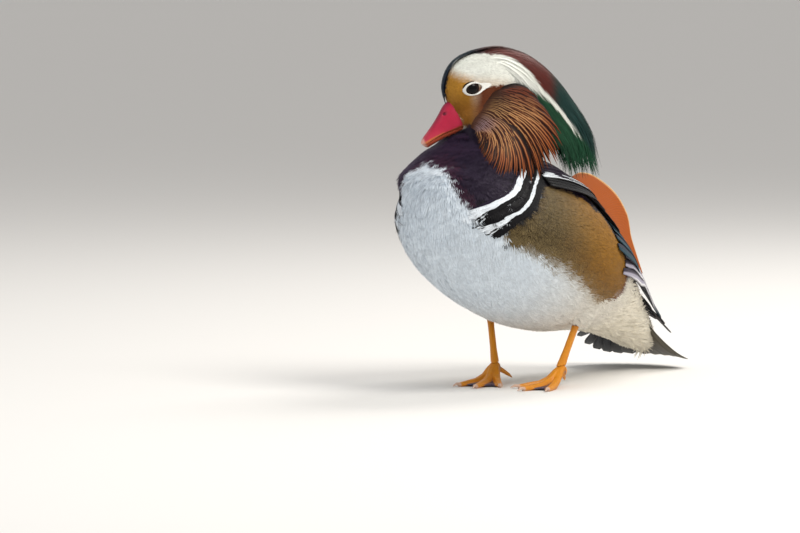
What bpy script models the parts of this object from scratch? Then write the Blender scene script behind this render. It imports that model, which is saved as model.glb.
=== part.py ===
"""A mandarin drake at life size, standing at rest with its head turned to its right and its bill low.

Metres, +Z up. The bird faces -Y and its left side is +X. The forms are laid out from the point on the
floor midway between its feet, and the finished pieces are moved so that the origin is at the centre of
the base of the whole bird's box.
"""

import math
import random

import bmesh
import bpy
import numpy as np
from mathutils import Matrix, Vector
from mathutils.bvhtree import BVHTree

# Driving dimensions
STAND = Vector((0.0, -0.0300, 0.0))
GAP = 0.0004
HEAD_TURN = math.radians(34.0)
HEAD_PITCH = math.radians(30.0)
HEAD_CENTRE = Vector((-0.010, -0.057, 0.188))
EYE_RADIUS = 0.0062
EYE_PLACE = Vector((0.0090, 0.0, 0.0))
LID_RADIUS = 0.0074
EYE_OPENING = (0.0047, 0.0036)
EYE_TILT = math.radians(22.0)
VANE_THICKNESS = 0.0008
WING_TOP = 0.0015
WING_DEPTH = 0.0060
# Points nearer than this are one after a cut. Faces that turn by less than the first of these angles are
# one when a node is thinned, or by less than the next where that would leave the node open.
MERGED = 0.0000002
FLAT_ANGLES = [math.radians(turn) for turn in (2.0, 1.5, 1.0)]

X_AXIS, Y_AXIS, Z_AXIS = Vector((1, 0, 0)), Vector((0, 1, 0)), Vector((0, 0, 1))

# The trunk's outline: distance behind the feet, then underside, back and half width at that place
TRUNK = [
    (-0.1085, 0.1150, 0.1190, 0.0020),
    (-0.1055, 0.0985, 0.1330, 0.0190),
    (-0.0975, 0.0860, 0.1410, 0.0335),
    (-0.0850, 0.0730, 0.1450, 0.0440),
    (-0.0660, 0.0590, 0.1470, 0.0525),
    (-0.0420, 0.0465, 0.1470, 0.0570),
    (-0.0150, 0.0370, 0.1445, 0.0580),
    (0.0120, 0.0325, 0.1385, 0.0555),
    (0.0400, 0.0315, 0.1220, 0.0490),
    (0.0660, 0.0285, 0.0990, 0.0390),
    (0.0920, 0.0225, 0.0740, 0.0280),
    (0.1120, 0.0160, 0.0560, 0.0200),
    (0.1260, 0.0130, 0.0430, 0.0135),
    (0.1330, 0.0160, 0.0320, 0.0070),
]
# The neck's line: centre, half width and half depth, from inside the breast up to the skull
NECK = [
    (Vector((-0.002, -0.058, 0.1180)), 0.0440, 0.0480),
    (Vector((-0.008, -0.058, 0.1340)), 0.0420, 0.0450),
    (Vector((-0.007, -0.053, 0.1440)), 0.0370, 0.0400),
    (Vector((-0.006, -0.050, 0.1500)), 0.0330, 0.0350),
    (Vector((-0.006, -0.047, 0.1570)), 0.0250, 0.0255),
    (Vector((-0.006, -0.046, 0.1650)), 0.0200, 0.0205),
    (Vector((-0.006, -0.046, 0.1800)), 0.0170, 0.0190),
]
HIP, THIGH_RADII = Vector((0.0310, 0.0100, 0.0560)), (0.011, 0.014, 0.0185)

# The folded wing's patch on the trunk: distance behind the feet, then how far round from the spine its
# upper and its lower edge lie, in degrees
WING_EDGES = [
    (-0.012, 14, 24),
    (0.004, 8, 33),
    (0.020, 6, 42),
    (0.040, 6, 52),
    (0.060, 7, 63),
    (0.080, 10, 77),
    (0.104, 16, 90),
]
# The ridge of the crest, told as (back, up, half width, depth) from the middle of the head
RIDGE = [
    (-0.0150, -0.0090, 0.0026, 0.0050),
    (-0.0162, 0.0000, 0.0042, 0.0070),
    (-0.0139, 0.0100, 0.0064, 0.0095),
    (-0.0070, 0.0192, 0.0088, 0.0120),
    (0.0060, 0.0250, 0.0112, 0.0150),
    (0.0215, 0.0272, 0.0128, 0.0205),
    (0.0370, 0.0236, 0.0135, 0.0275),
    (0.0503, 0.0158, 0.0135, 0.0325),
    (0.0613, 0.0055, 0.0125, 0.0345),
    (0.0713, -0.0070, 0.0110, 0.0335),
    (0.0788, -0.0190, 0.0095, 0.0315),
    (0.0838, -0.0325, 0.0080, 0.0285),
    (0.0850, -0.0470, 0.0065, 0.0250),
]
# The upper mandible, told as (back, up) of the ridge and of the cutting edge, and the half width
BILL = [
    (-0.0115, -0.0065, 0.0005, -0.0215, 0.0074),
    (-0.0146, -0.0095, -0.0040, -0.0227, 0.0072),
    (-0.0178, -0.0150, -0.0100, -0.0247, 0.0067),
    (-0.0212, -0.0205, -0.0165, -0.0271, 0.0061),
    (-0.0250, -0.0258, -0.0220, -0.0298, 0.0057),
    (-0.0278, -0.0296, -0.0256, -0.0320, 0.0050),
    (-0.0294, -0.0328, -0.0281, -0.0340, 0.0030),
]
NOSTRIL_PLACE, NOSTRIL_RADII = (0.0043, -0.0146, -0.0142), (0.0014, 0.0021, 0.0008)
NOSTRIL_SLOPE = math.radians(52.0)

SKINS = {
    "breast_and_belly": ((0.75, 0.76, 0.75), 0.85, 0.0),
    "maroon_neck": ((0.085, 0.03, 0.07), 0.7, 0.0),
    "pale_face": ((0.72, 0.66, 0.5), 0.8, 0.0),
    "green_crest": ((0.03, 0.12, 0.08), 0.5, 0.0),
    "rufous_plumes": ((0.5, 0.16, 0.03), 0.7, 0.0),
    "dark_wing": ((0.06, 0.07, 0.12), 0.6, 0.0),
    "orange_sail": ((0.72, 0.25, 0.03), 0.6, 0.0),
    "brown_tail": ((0.13, 0.11, 0.09), 0.7, 0.0),
    "red_bill": ((0.6, 0.05, 0.08), 0.35, 0.0),
    "yellow_leg": ((0.85, 0.42, 0.04), 0.5, 0.0),
    "dark_eye": ((0.01, 0.008, 0.008), 0.08, 0.0),
}


def clear_scene():
    for thing in list(bpy.data.objects):
        bpy.data.objects.remove(thing, do_unlink=True)


def curve_value(knots, place):
    """The value at one place on a smooth curve through (place, value) knots, with no overshoot."""
    xs = [k[0] for k in knots]
    ys = [k[1] for k in knots]
    slopes = [(ys[i + 1] - ys[i]) / (xs[i + 1] - xs[i]) for i in range(len(xs) - 1)]
    tangents = [slopes[0]]
    for before, after in zip(slopes, slopes[1:]):
        same_way = before * after > 0
        tangents.append(2 * before * after / (before + after) if same_way else 0.0)
    tangents.append(slopes[-1])
    place = min(max(place, xs[0]), xs[-1])
    i = min(max(int(np.searchsorted(xs, place)) - 1, 0), len(xs) - 2)
    width = xs[i + 1] - xs[i]
    t = (place - xs[i]) / width
    return (
        (1 + 2 * t) * (1 - t) ** 2 * ys[i]
        + t * (1 - t) ** 2 * width * tangents[i]
        + t * t * (3 - 2 * t) * ys[i + 1]
        + t * t * (t - 1) * width * tangents[i + 1]
    )


def column(rows, k):
    return [(row[0], row[k]) for row in rows]


def bezier(points, t):
    """A point on the curve that these control points pull."""
    points = list(points)
    while len(points) > 1:
        points = [a.lerp(b, t) for a, b in zip(points, points[1:])]
    return points[0]


def new_object(name, bm):
    """A new object that holds this bmesh."""
    mesh = bpy.data.meshes.new(name)
    bm.to_mesh(mesh)
    bm.free()
    made = bpy.data.objects.new(name, mesh)
    bpy.context.scene.collection.objects.link(made)
    return made


def loft(name, rings):
    """A closed skin of triangles through rings of points that are alike in number, with capped ends."""
    bm = bmesh.new()
    rows = [[bm.verts.new(point) for point in ring] for ring in rings]
    count = len(rings[0])
    for low, high in zip(rows, rows[1:]):
        for k in range(count):
            n = (k + 1) % count
            bm.faces.new((low[k], low[n], high[n]))
            bm.faces.new((low[k], high[n], high[k]))
    for row in (rows[0], rows[-1]):
        bmesh.ops.triangulate(bm, faces=[bm.faces.new(row)])
    bmesh.ops.recalc_face_normals(bm, faces=bm.faces)
    return new_object(name, bm)


def oval(centre, side, rise, half_side, half_rise, count):
    """A ring of points round an oval."""
    turns = [math.tau * k / count for k in range(count)]
    return [centre + side * math.cos(a) * half_side + rise * math.sin(a) * half_rise for a in turns]


def ellipsoid(name, centre, radii, turn=None, segments=20, rings=12):
    bm = bmesh.new()
    bmesh.ops.create_uvsphere(bm, u_segments=segments, v_segments=rings, radius=1.0)
    shape = Matrix.Translation(centre) @ (turn or Matrix.Identity(4)) @ Matrix.Diagonal((*radii, 1.0))
    bmesh.ops.transform(bm, matrix=shape, verts=bm.verts)
    return new_object(name, bm)


def vane(name, path, widths, ups, thickness=VANE_THICKNESS, cup=0.0, roll=0.0):
    """A feather blade or a lock: a thin closed strip along a path.

    widths holds the reach to its left and right at each point, and ups the way that its face looks. Both
    faces are split into the same triangles. cup raises the middle, as a share of the width, and roll
    turns the blade about its own line, so that neighbours can lie over one another like tiles.
    """
    rings = []
    for i, point in enumerate(path):
        ahead = path[min(i + 1, len(path) - 1)] - path[max(i - 1, 0)]
        facing = Matrix.Rotation(roll, 3, ahead) @ ups[i]
        side = ahead.cross(facing).normalized()
        up = side.cross(ahead).normalized()
        left, right = widths[i]
        half = up * thickness * 0.5
        crown = up * cup * (left + right)
        edges = [point - side * left, point + crown, point + side * right]
        if cup:
            rings.append([p + half for p in edges] + [p - half for p in reversed(edges)])
        else:
            rings.append([edges[0] + half, edges[2] + half, edges[2] - half, edges[0] - half])
    return loft(name, rings)


def remove(objects):
    for thing in objects:
        bpy.data.objects.remove(thing, do_unlink=True)


def keep_largest(bm):
    """Drops all but the largest closed surface, which also fills a hollow that fusing has sealed."""
    seen, groups = set(), []
    for start in bm.verts:
        if start in seen:
            continue
        group, queue = [], [start]
        seen.add(start)
        while queue:
            vert = queue.pop()
            group.append(vert)
            for edge in vert.link_edges:
                other = edge.other_vert(vert)
                if other not in seen:
                    seen.add(other)
                    queue.append(other)
        groups.append(group)
    groups.sort(key=len)
    bmesh.ops.delete(bm, geom=[v for group in groups[:-1] for v in group], context="VERTS")


def settle(target):
    """Applies the target's modifiers and keeps its largest closed surface."""
    graph = bpy.context.evaluated_depsgraph_get()
    bm = bmesh.new()
    bm.from_mesh(target.evaluated_get(graph).to_mesh())
    target.modifiers.clear()
    bmesh.ops.remove_doubles(bm, verts=bm.verts, dist=MERGED)
    keep_largest(bm)
    bm.to_mesh(target.data)
    bm.free()
    return target


def boolean(target, others, operation, solver="MANIFOLD"):
    """Joins these objects to the target, or cuts them from it, and removes them."""
    tools = bpy.data.collections.new("tools")
    bpy.context.scene.collection.children.link(tools)
    for thing in others:
        bpy.context.scene.collection.objects.unlink(thing)
        tools.objects.link(thing)
    step = target.modifiers.new("tools", "BOOLEAN")
    step.operation = operation
    step.operand_type = "COLLECTION"
    step.collection = tools
    step.solver = solver
    settle(target)
    remove(list(tools.objects))
    bpy.data.collections.remove(tools)
    return target


def thinned(target):
    """Merges the triangles that cuts have left side by side in one flat face."""
    for angle in FLAT_ANGLES:
        bm = bmesh.new()
        bm.from_mesh(target.data)
        bmesh.ops.dissolve_limit(bm, angle_limit=angle, verts=bm.verts, edges=bm.edges)
        bmesh.ops.triangulate(bm, faces=bm.faces)
        closed = all(edge.is_manifold for edge in bm.edges)
        if closed:
            bm.to_mesh(target.data)
        bm.free()
        if closed:
            return target
    return target


def grown(thing, by):
    """A copy of a closed object, with its surface moved outwards."""
    bm = bmesh.new()
    bm.from_mesh(thing.data)
    bm.normal_update()
    for vert, normal in [(v, v.normal.copy()) for v in bm.verts]:
        vert.co += normal * by
    return new_object(thing.name + "_grown", bm)


def clearances(things):
    """Copies of some closed pieces, each larger by the gap that touching pieces keep."""
    return [grown(thing, GAP) for thing in things]


def twin(thing):
    copied = thing.copy()
    copied.data = thing.data.copy()
    bpy.context.scene.collection.objects.link(copied)
    return copied


def carve(target, room):
    """Cuts the target clear of its neighbours, whose clearances are given."""
    return boolean(target, [twin(thing) for thing in room], "DIFFERENCE")


def sliced(thing, name, planes):
    """A copy of a closed object, cut off beyond each (point, normal) plane and closed again."""
    bm = bmesh.new()
    bm.from_mesh(thing.data)
    for point, normal in planes:
        everything = bm.verts[:] + bm.edges[:] + bm.faces[:]
        cut = bmesh.ops.bisect_plane(
            bm, geom=everything, dist=1e-7, plane_co=point, plane_no=normal, clear_outer=True
        )
        rim = [e for e in cut["geom_cut"] if isinstance(e, bmesh.types.BMEdge)]
        bmesh.ops.triangle_fill(bm, edges=rim, use_beauty=True)
    keep_largest(bm)
    bmesh.ops.recalc_face_normals(bm, faces=bm.faces)
    return new_object(name, bm)


# The body's flesh, modelled whole
def trunk_form():
    under, back, wide = (column(TRUNK, k) for k in (1, 2, 3))
    rings = []
    for station in range(25):
        # Stations crowd towards the ends, where the outline turns fastest
        along = (1 - math.cos(math.pi * station / 24)) / 2
        y = TRUNK[0][0] + (TRUNK[-1][0] - TRUNK[0][0]) * along
        low, high, half = (curve_value(k, y) for k in (under, back, wide))
        middle = (low + high) / 2
        ring = oval(Vector((0, y, middle)), X_AXIS, Z_AXIS, half, (high - low) / 2, 28)
        # The upper half narrows towards the spine, as a duck's shoulders slope
        for point in ring:
            point.x *= 1 - 0.16 * max(0.0, (point.z - middle) / (high - middle))
        rings.append(ring)
    return loft("trunk", rings)


def neck_form():
    return loft("neck_form", [oval(c, X_AXIS, Y_AXIS, wide, deep, 24) for c, wide, deep in NECK])


HEAD = Matrix.Translation(HEAD_CENTRE) @ Matrix.Rotation(-HEAD_TURN, 4, "Z")
BOW = Matrix.Rotation(HEAD_PITCH, 4, "X")


def on_head(left, back, up):
    """A point told from the middle of the head, in the bird's own frame."""
    return HEAD @ Vector((left, back, up))


def head_forms():
    forms = [
        ellipsoid("skull", (0, 0.0130, -0.0010), (0.0165, 0.0275, 0.0225), BOW),
        ellipsoid("forehead", (0, 0.0005, -0.0010), (0.0130, 0.0135, 0.0180), BOW),
        ellipsoid("cheeks", (0, 0.0080, -0.0140), (0.0168, 0.0190, 0.0150), BOW),
        ellipsoid("lores", (0, -0.0035, -0.0160), (0.0088, 0.0105, 0.0095), BOW),
    ]
    for form in forms:
        form.data.transform(HEAD)
    return forms


def flesh_form():
    """Trunk, neck, head and thighs blended into one skin."""
    thighs = [ellipsoid("thigh", (side * HIP.x, HIP.y, HIP.z), THIGH_RADII) for side in (1, -1)]
    pieces = [neck_form(), *head_forms(), *thighs]
    flesh = boolean(trunk_form(), pieces, "UNION")
    blend = flesh.modifiers.new("blend", "REMESH")
    blend.mode = "VOXEL"
    blend.voxel_size = 0.0022
    soften = flesh.modifiers.new("soften", "SMOOTH")
    soften.factor = 0.5
    soften.iterations = 7
    spare = flesh.modifiers.new("spare", "DECIMATE")
    spare.ratio = 0.050
    return settle(flesh)


def surface_of(thing):
    """A tree of the object's faces, to lay other pieces on."""
    bm = bmesh.new()
    bm.from_mesh(thing.data)
    tree = BVHTree.FromBMesh(bm)
    bm.free()
    return tree


def trunk_middle(y):
    return (curve_value(column(TRUNK, 1), y) + curve_value(column(TRUNK, 2), y)) / 2


def on_trunk(skin, side, y, degrees, lift):
    """The point and the normal on the trunk, at a turn from the spine towards one side."""
    turn = math.radians(degrees)
    out = Vector((side * math.sin(turn), 0, math.cos(turn)))
    middle = Vector((0, y, trunk_middle(y)))
    hit, normal, _, _ = skin.ray_cast(middle + out * 0.12, -out)
    if hit is None:
        hit, normal = middle, out
    return hit + normal * lift, normal


# Wings
def wing_prism(name, skin, side, outer, inner, spread):
    """A patch of the trunk's side between two depths, from the shoulder to the rump."""
    top, low = column(WING_EDGES, 1), column(WING_EDGES, 2)
    rings = []
    first, last = WING_EDGES[0][0] - spread, WING_EDGES[-1][0] + spread
    for station in range(8):
        y = first + (last - first) * station / 7
        radius = (curve_value(column(TRUNK, 2), y) - curve_value(column(TRUNK, 1), y)) / 2
        slack = math.degrees(spread / (radius * 0.8))
        start, end = curve_value(top, y) - slack, curve_value(low, y) + slack
        around = [start + (end - start) * k / 4 for k in range(5)]
        over = [on_trunk(skin, side, y, a, outer)[0] for a in around]
        under = [on_trunk(skin, side, y, a, -inner)[0] for a in reversed(around)]
        rings.append(over + under)
    return loft(name, rings)


def surface_feather(skin, side, root, tip, widths, lifts):
    """The line of a feather laid on the trunk between two (distance behind the feet, degrees) places.

    Past the rump the feather runs on in the direction that it has there.
    """
    path, ups, reaches = [], [], []
    steps = len(widths)
    for k in range(steps):
        t = k / (steps - 1)
        spot = root.lerp(tip, t)
        lift = lifts[0] + (lifts[1] - lifts[0]) * math.sin(t * math.pi / 2)
        if spot.x < RUMP_END:
            point, normal = on_trunk(skin, side, spot.x, spot.y, lift)
        else:
            stretch = (spot.x - root.lerp(tip, t - 1 / (steps - 1)).x) / (path[-1] - path[-2]).y
            point, normal = path[-1] + (path[-1] - path[-2]) * stretch, ups[-1]
        path.append(point)
        ups.append(normal)
        reaches.append((widths[k] / 2, widths[k] / 2))
    return path, reaches, ups


def blade_widths(width, steps, point=0.25):
    """Widths from a narrow root through the full blade to a tip; point is the tip's share of the width."""
    widths = []
    for k in range(steps):
        t = k / (steps - 1)
        full = min(1.0, 0.55 + 1.5 * t) if t < 0.7 else math.sqrt(max(0.0, 1 - ((t - 0.7) / 0.3) ** 2))
        widths.append(width * max(point, full))
    return widths


RUMP_END = 0.118
TILE_ROLL = math.radians(9)
# Tiers of a wing's feathers: how many, then (distance behind the feet, degrees from the spine) of the
# root and the tip of the lowest and of the highest one, their width, and their lift at root and tip
WING_TIERS = [
    ("primary", 6, (0.058, 60), (0.110, 84), (0.072, 26), (0.134, 40), 0.0092, (-0.0040, 0.0064)),
    ("tertial", 4, (0.030, 44), (0.088, 64), (0.038, 11), (0.098, 22), 0.0115, (-0.0038, 0.0030)),
    ("covert", 4, (0.008, 34), (0.044, 54), (0.014, 12), (0.058, 18), 0.0105, (-0.0038, 0.0028)),
    ("scapular", 4, (-0.008, 24), (0.020, 39), (-0.004, 15), (0.036, 11), 0.0095, (-0.0038, 0.0032)),
]


def wing_parts(name, skin, side):
    parts = [wing_prism(name, skin, side, -WING_TOP, WING_DEPTH - 0.0001, -0.0001)]
    for kind, count, root_low, tip_low, root_high, tip_high, width, lifts in WING_TIERS:
        steps = 5 if kind == "primary" else 4
        for k in range(count):
            t = k / (count - 1)
            root = Vector(root_low).lerp(Vector(root_high), t)
            tip = Vector(tip_low).lerp(Vector(tip_high), t)
            feather = surface_feather(skin, side, root, tip, blade_widths(width, steps), lifts)
            parts.append(vane(kind, *feather, roll=-side * TILE_ROLL))
    return parts


# The sail: along its lower edge from root to tip, then the height of the blade above that edge
SAIL_ROOT, SAIL_TIP = Vector((0.0200, 0.014, 0.1240)), Vector((0.0175, 0.1015, 0.0650))
SAIL_HEIGHTS = [
    (0.00, 0.0070),
    (0.14, 0.0170),
    (0.32, 0.0230),
    (0.56, 0.0262),
    (0.68, 0.0235),
    (0.78, 0.0135),
    (0.90, 0.0065),
    (1.00, 0.0015),
]


def sail(name, side):
    """The broad upright feather over each wing."""
    path, reaches, ups = [], [], []
    root, tip = (Vector((side * p.x, p.y, p.z)) for p in (SAIL_ROOT, SAIL_TIP))
    for along, height in SAIL_HEIGHTS:
        point = root.lerp(tip, along) + Z_AXIS * 0.004 * math.sin(math.pi * along)
        path.append(point)
        reaches.append((0.0030, height) if side < 0 else (height, 0.0030))
        lean = 0.16 * math.sin(math.pi * along)
        ups.append(Vector((side, 0.0, lean - 0.10)))
    return vane(name, path, reaches, ups, thickness=0.0011, cup=0.03)


# The fan of the tail, swung to the bird's right and pressed down at its left
FAN_SIZE = 11
FAN_ROOT = Vector((0.0080, 0.1130, 0.0420))
FAN_LENGTH = 0.0570
FAN_MIDDLE, FAN_SPREAD = math.radians(26), math.radians(36)


def rectrix(k):
    """One tail feather; v runs from -1, outermost on the right, to 1, outermost on the left."""
    v = 2 * k / (FAN_SIZE - 1) - 1
    root = Vector((FAN_ROOT.x * v, FAN_ROOT.y, FAN_ROOT.z - 0.0040 * v * v))
    heading = FAN_MIDDLE - FAN_SPREAD * v
    way = Vector((-math.sin(heading), math.cos(heading), 0))
    length = FAN_LENGTH * (1 - 0.12 * v * v - 0.08 * max(0.0, v))
    fall = root.z - 0.0060 - 0.0170 * max(0.0, -v) ** 3
    bend = root + way * length * 0.5 - Z_AXIS * (0.58 * fall + 0.003 * v)
    tip = root + way * length - Z_AXIS * fall
    path = [bezier([root, bend * 2 - root.lerp(tip, 0.5), tip], t / 4) for t in range(5)]
    widths = [(w / 2, w / 2) for w in blade_widths(0.0140, 5, 0.4)]
    return path, widths, [Z_AXIS + way * 0.5] * 5


# Tiers of the tail's coverts: how many, distance behind the feet and height of root and tip on the
# middle line, then how far the outer ones stand to the side and drop, at root and at tip, and their width
COVERT_TIERS = [
    ("upper_covert", 4, (0.1120, 0.0455), (0.1440, 0.0320), 0.0060, 0.0170, -0.0060, -0.0060, 0.0110),
    ("short_covert", 3, (0.1110, 0.0490), (0.1330, 0.0420), 0.0045, 0.0110, -0.0030, -0.0040, 0.0100),
    ("under_covert", 4, (0.1140, 0.0230), (0.1420, 0.0150), 0.0065, 0.0150, 0.0050, 0.0030, 0.0120),
]


def tail_parts(name, flesh, cut):
    parts = [sliced(flesh, name, [cut])]
    for k in range(FAN_SIZE):
        turned = TILE_ROLL if k > FAN_SIZE // 2 else -TILE_ROLL
        parts.append(vane("rectrix", *rectrix(k), roll=turned))
    for kind, count, root_at, tip_at, root_side, tip_side, root_drop, tip_drop, width in COVERT_TIERS:
        for k in range(count):
            v = 2 * k / (count - 1) - 1
            root = Vector((root_side * v, root_at[0], root_at[1] + root_drop * v * v))
            tip = Vector((tip_side * v, tip_at[0] - 0.006 * v * v, tip_at[1] + tip_drop * v * v))
            path = [root.lerp(tip, t / 3) for t in range(4)]
            below = kind == "under_covert"
            ups = [Vector((0.5 * v, 0.25, -1.0 if below else 1.0))] * 4
            widths = [(w / 2, w / 2) for w in blade_widths(width, 4, 0.4)]
            parts.append(vane(kind, path, widths, ups, roll=0.14 * (1 if v > 0 else -1)))
    return parts


# Head pieces
RIDGE_LINES = [[(i / (len(RIDGE) - 1), row[k]) for i, row in enumerate(RIDGE)] for k in range(4)]


def crest_point(share, degrees, lift):
    """A point over the crest: how far along its ridge, how far round from it, and its lift; and its up."""
    back, up, half, deep = (curve_value(line, share) for line in RIDGE_LINES)
    step = 0.01
    ahead = [curve_value(line, share + step) - curve_value(line, share - step) for line in RIDGE_LINES[:2]]
    along = Vector((0, ahead[0], ahead[1])).normalized()
    inward = Vector((0, along.z, -along.y))
    turn = math.radians(degrees)
    centre = Vector((0, back, up)) + inward * deep / 2
    out = X_AXIS * math.sin(turn) * (half + lift) - inward * math.cos(turn) * (deep / 2 + lift)
    facing = X_AXIS * math.sin(turn) / half - inward * math.cos(turn) / (deep / 2)
    return HEAD @ (centre + out), (HEAD.to_3x3() @ facing).normalized()


# The crest's core: share of the ridge's length, and how far inside the crest's outline it stays there
CORE_STATIONS = [
    (0.01, -0.0026),
    (0.12, -0.0030),
    (0.24, -0.0034),
    (0.36, -0.0036),
    (0.48, -0.0042),
    (0.57, -0.0085),
]
# Tiers of the crest, front to back: where along the ridge the locks are rooted and end, how many, and
# how far round the outermost ones lie
CREST_TIERS = [
    (0.14, 0.45, 3, 44),
    (0.18, 0.62, 4, 76),
    (0.32, 0.80, 5, 100),
    (0.44, 0.93, 5, 112),
    (0.50, 1.00, 4, 96),
]
LOCK_WIDTH = 0.0092
# Shares of a lock's width at its four or five points
LOCK_SHAPES = {4: (0.8, 1.0, 0.9, 0.12), 5: (0.8, 0.8, 1.0, 0.9, 0.12)}


def crest_parts(name, rng):
    rings = [[crest_point(s, 360 * k / 10, lift)[0] for k in range(10)] for s, lift in CORE_STATIONS]
    parts = [loft(name, rings)]
    for first, last, count, around in CREST_TIERS:
        steps = 5 if first < 0.3 else 4
        for k in range(count):
            share = 2 * k / (count - 1) - 1
            end = last - 0.03 * abs(share) + rng.uniform(-0.02, 0.02)
            path, ups = [], []
            for step in range(steps):
                t = step / (steps - 1)
                lift = -0.0055 + 0.0065 * t
                point, up = crest_point(first + (end - first) * t, around * share, lift)
                path.append(point)
                ups.append(up)
            widths = [(LOCK_WIDTH * w / 2, LOCK_WIDTH * w / 2) for w in LOCK_SHAPES[steps]]
            parts.append(vane("lock", path, widths, ups))
    return parts


# The ruff's hackles, front to back: root, pull and tip, told as (back, up) from the middle of the head
RUFF = [
    (0.0020, -0.0240, 0.0040, -0.0380, 0.0080, -0.0500),
    (0.0040, -0.0200, 0.0110, -0.0380, 0.0230, -0.0560),
    (0.0070, -0.0150, 0.0240, -0.0300, 0.0400, -0.0590),
    (0.0090, -0.0110, 0.0330, -0.0180, 0.0500, -0.0520),
    (0.0110, -0.0070, 0.0360, -0.0090, 0.0560, -0.0360),
    (0.0130, -0.0040, 0.0330, -0.0030, 0.0530, -0.0180),
]
RUFF_PAD, PAD_RADII = (0.0090, -0.0148), (0.0044, 0.0128, 0.0122)
# Layers of hackles: how many, their share of the full length, and their lift off the cheek
RUFF_LAYERS = [(8, 1.0, 0.0006), (6, 0.80, 0.0028), (4, 0.58, 0.0050)]
RUFF_WIDTH, RUFF_FLARE = 0.0062, 0.0105
# Shares of a hackle's width along it
HACKLE_SHAPE = (0.5, 0.85, 1.0, 0.75, 0.12)


def ruff_row(share):
    place = share * (len(RUFF) - 1)
    i = min(int(place), len(RUFF) - 2)
    return [a + (b - a) * (place - i) for a, b in zip(RUFF[i], RUFF[i + 1])]


def draped(path, skin, clear):
    """The path, each point of it pushed out of the skin, with the rest of the path moved along."""
    laid, shift = [path[0]], Vector()
    for point in path[1:]:
        point = point + shift
        near, normal, _, _ = skin.find_nearest(point)
        depth = clear - (point - near).dot(normal)
        if depth > 0:
            shift += normal * depth
            point = point + normal * depth
        laid.append(point)
    return laid


def cheek_reach(skin, side):
    """How far the skin lies from the head's middle plane where the ruff is rooted."""
    start = on_head(side * 0.05, *RUFF_PAD)
    _, _, _, distance = skin.ray_cast(start, HEAD.to_3x3() @ X_AXIS * -side)
    return 0.05 - distance


def ruff_parts(name, side, skin, rng):
    """The long pointed plumes that stand out from one cheek, on a low pad."""
    cheek = cheek_reach(skin, side)
    pad = ellipsoid(name, (side * (cheek - 0.0027), *RUFF_PAD), PAD_RADII, BOW, 10, 6)
    pad.data.transform(HEAD)
    parts = [pad]
    for layer, (count, length, lift) in enumerate(RUFF_LAYERS):
        for k in range(count):
            share = (k + 0.5 * (layer % 2)) / (count - 0.5)
            rb, ru, pb, pu, tb, tu = ruff_row(share)
            root = Vector((0, rb + 0.0025 * layer, ru))
            tip = root.lerp(Vector((0, tb, tu)), length + rng.uniform(-0.03, 0.03))
            pull = root.lerp(Vector((0, pb, pu)), length)
            path = []
            for step in range(5):
                t = step / 4
                spot = bezier([root, pull, tip], t)
                reach = cheek - 0.0020 + RUFF_FLARE * math.sin(1.5 * t) + lift * min(1.0, 2.5 * t)
                path.append(on_head(side * reach, spot.y, spot.z))
            path = path[:1] + draped(path[1:], skin, GAP + 0.0013 + lift)
            widths = [RUFF_WIDTH * w / 2 for w in HACKLE_SHAPE]
            ups = [(HEAD.to_3x3() @ X_AXIS) * side] * 5
            parts.append(vane("hackle", path, [(w, w) for w in widths], ups, roll=-side * TILE_ROLL))
    return parts


def eye_middle(side):
    return on_head(side * EYE_PLACE.x, EYE_PLACE.y, EYE_PLACE.z)


def add_eye(head, name, side):
    """The eyeball, and round it a lid that is open over its middle."""
    middle = eye_middle(side)
    facing = HEAD.to_3x3().to_4x4() @ Matrix.Rotation(math.radians(90), 4, "Y")
    ball = ellipsoid(name, middle, (EYE_RADIUS,) * 3, facing, 14, 8)
    lid = ellipsoid("lid", middle, (LID_RADIUS,) * 3, facing, 14, 8)
    boolean(head, [lid], "UNION")
    opening = bmesh.new()
    bmesh.ops.create_cone(opening, cap_ends=True, segments=14, radius1=1.0, radius2=1.0, depth=2.0)
    length, height = EYE_OPENING
    place = Matrix.Translation((side * (EYE_PLACE.x + 0.0100), 0, 0)) @ Matrix.Rotation(EYE_TILT, 4, "X")
    shape = Matrix.Rotation(math.radians(90), 4, "Y") @ Matrix.Diagonal((height, length, 0.0085, 1.0))
    bmesh.ops.transform(opening, matrix=HEAD @ place @ shape, verts=opening.verts)
    boolean(head, [new_object("opening", opening), *clearances([ball])], "DIFFERENCE")
    return ball


def bill_rings(upper):
    """Rings of the upper mandible, or of the lower one that fits beneath it."""
    rings = []
    for rb, ru, cb, cu, half in BILL:
        ridge, edge = Vector((0, rb, ru)), Vector((0, cb, cu))
        if upper:
            ring = []
            for k in range(9):
                turn = math.pi * k / 8
                point = edge.lerp(ridge, math.sin(turn) ** 0.8)
                ring.append(point + X_AXIS * math.cos(turn) * half)
            ring += [edge.lerp(ridge, 0.06) + X_AXIS * half * x for x in (-0.6, 0.0, 0.6)]
        else:
            drop = (edge - ridge).normalized()
            top = edge + drop * 0.0001
            deep = 0.0012 + 0.0030 * half / 0.0072 * (1 - (ridge - edge).length / 0.030)
            ring = [top + X_AXIS * half * 0.9 * x for x in (0.9, 0.45, 0.0, -0.45, -0.9)]
            for k in range(1, 6):
                turn = math.pi * k / 6
                ring.append(top + drop * deep * math.sin(turn) - X_AXIS * math.cos(turn) * half * 0.88)
        rings.append([HEAD @ point for point in ring])
    return rings


def nostril(side):
    left, back, up = NOSTRIL_PLACE
    slope = Matrix.Rotation(NOSTRIL_SLOPE, 4, "X")
    pit = ellipsoid("nostril", (side * left, back, up), NOSTRIL_RADII, slope, 10, 6)
    pit.data.transform(HEAD)
    return pit


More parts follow.
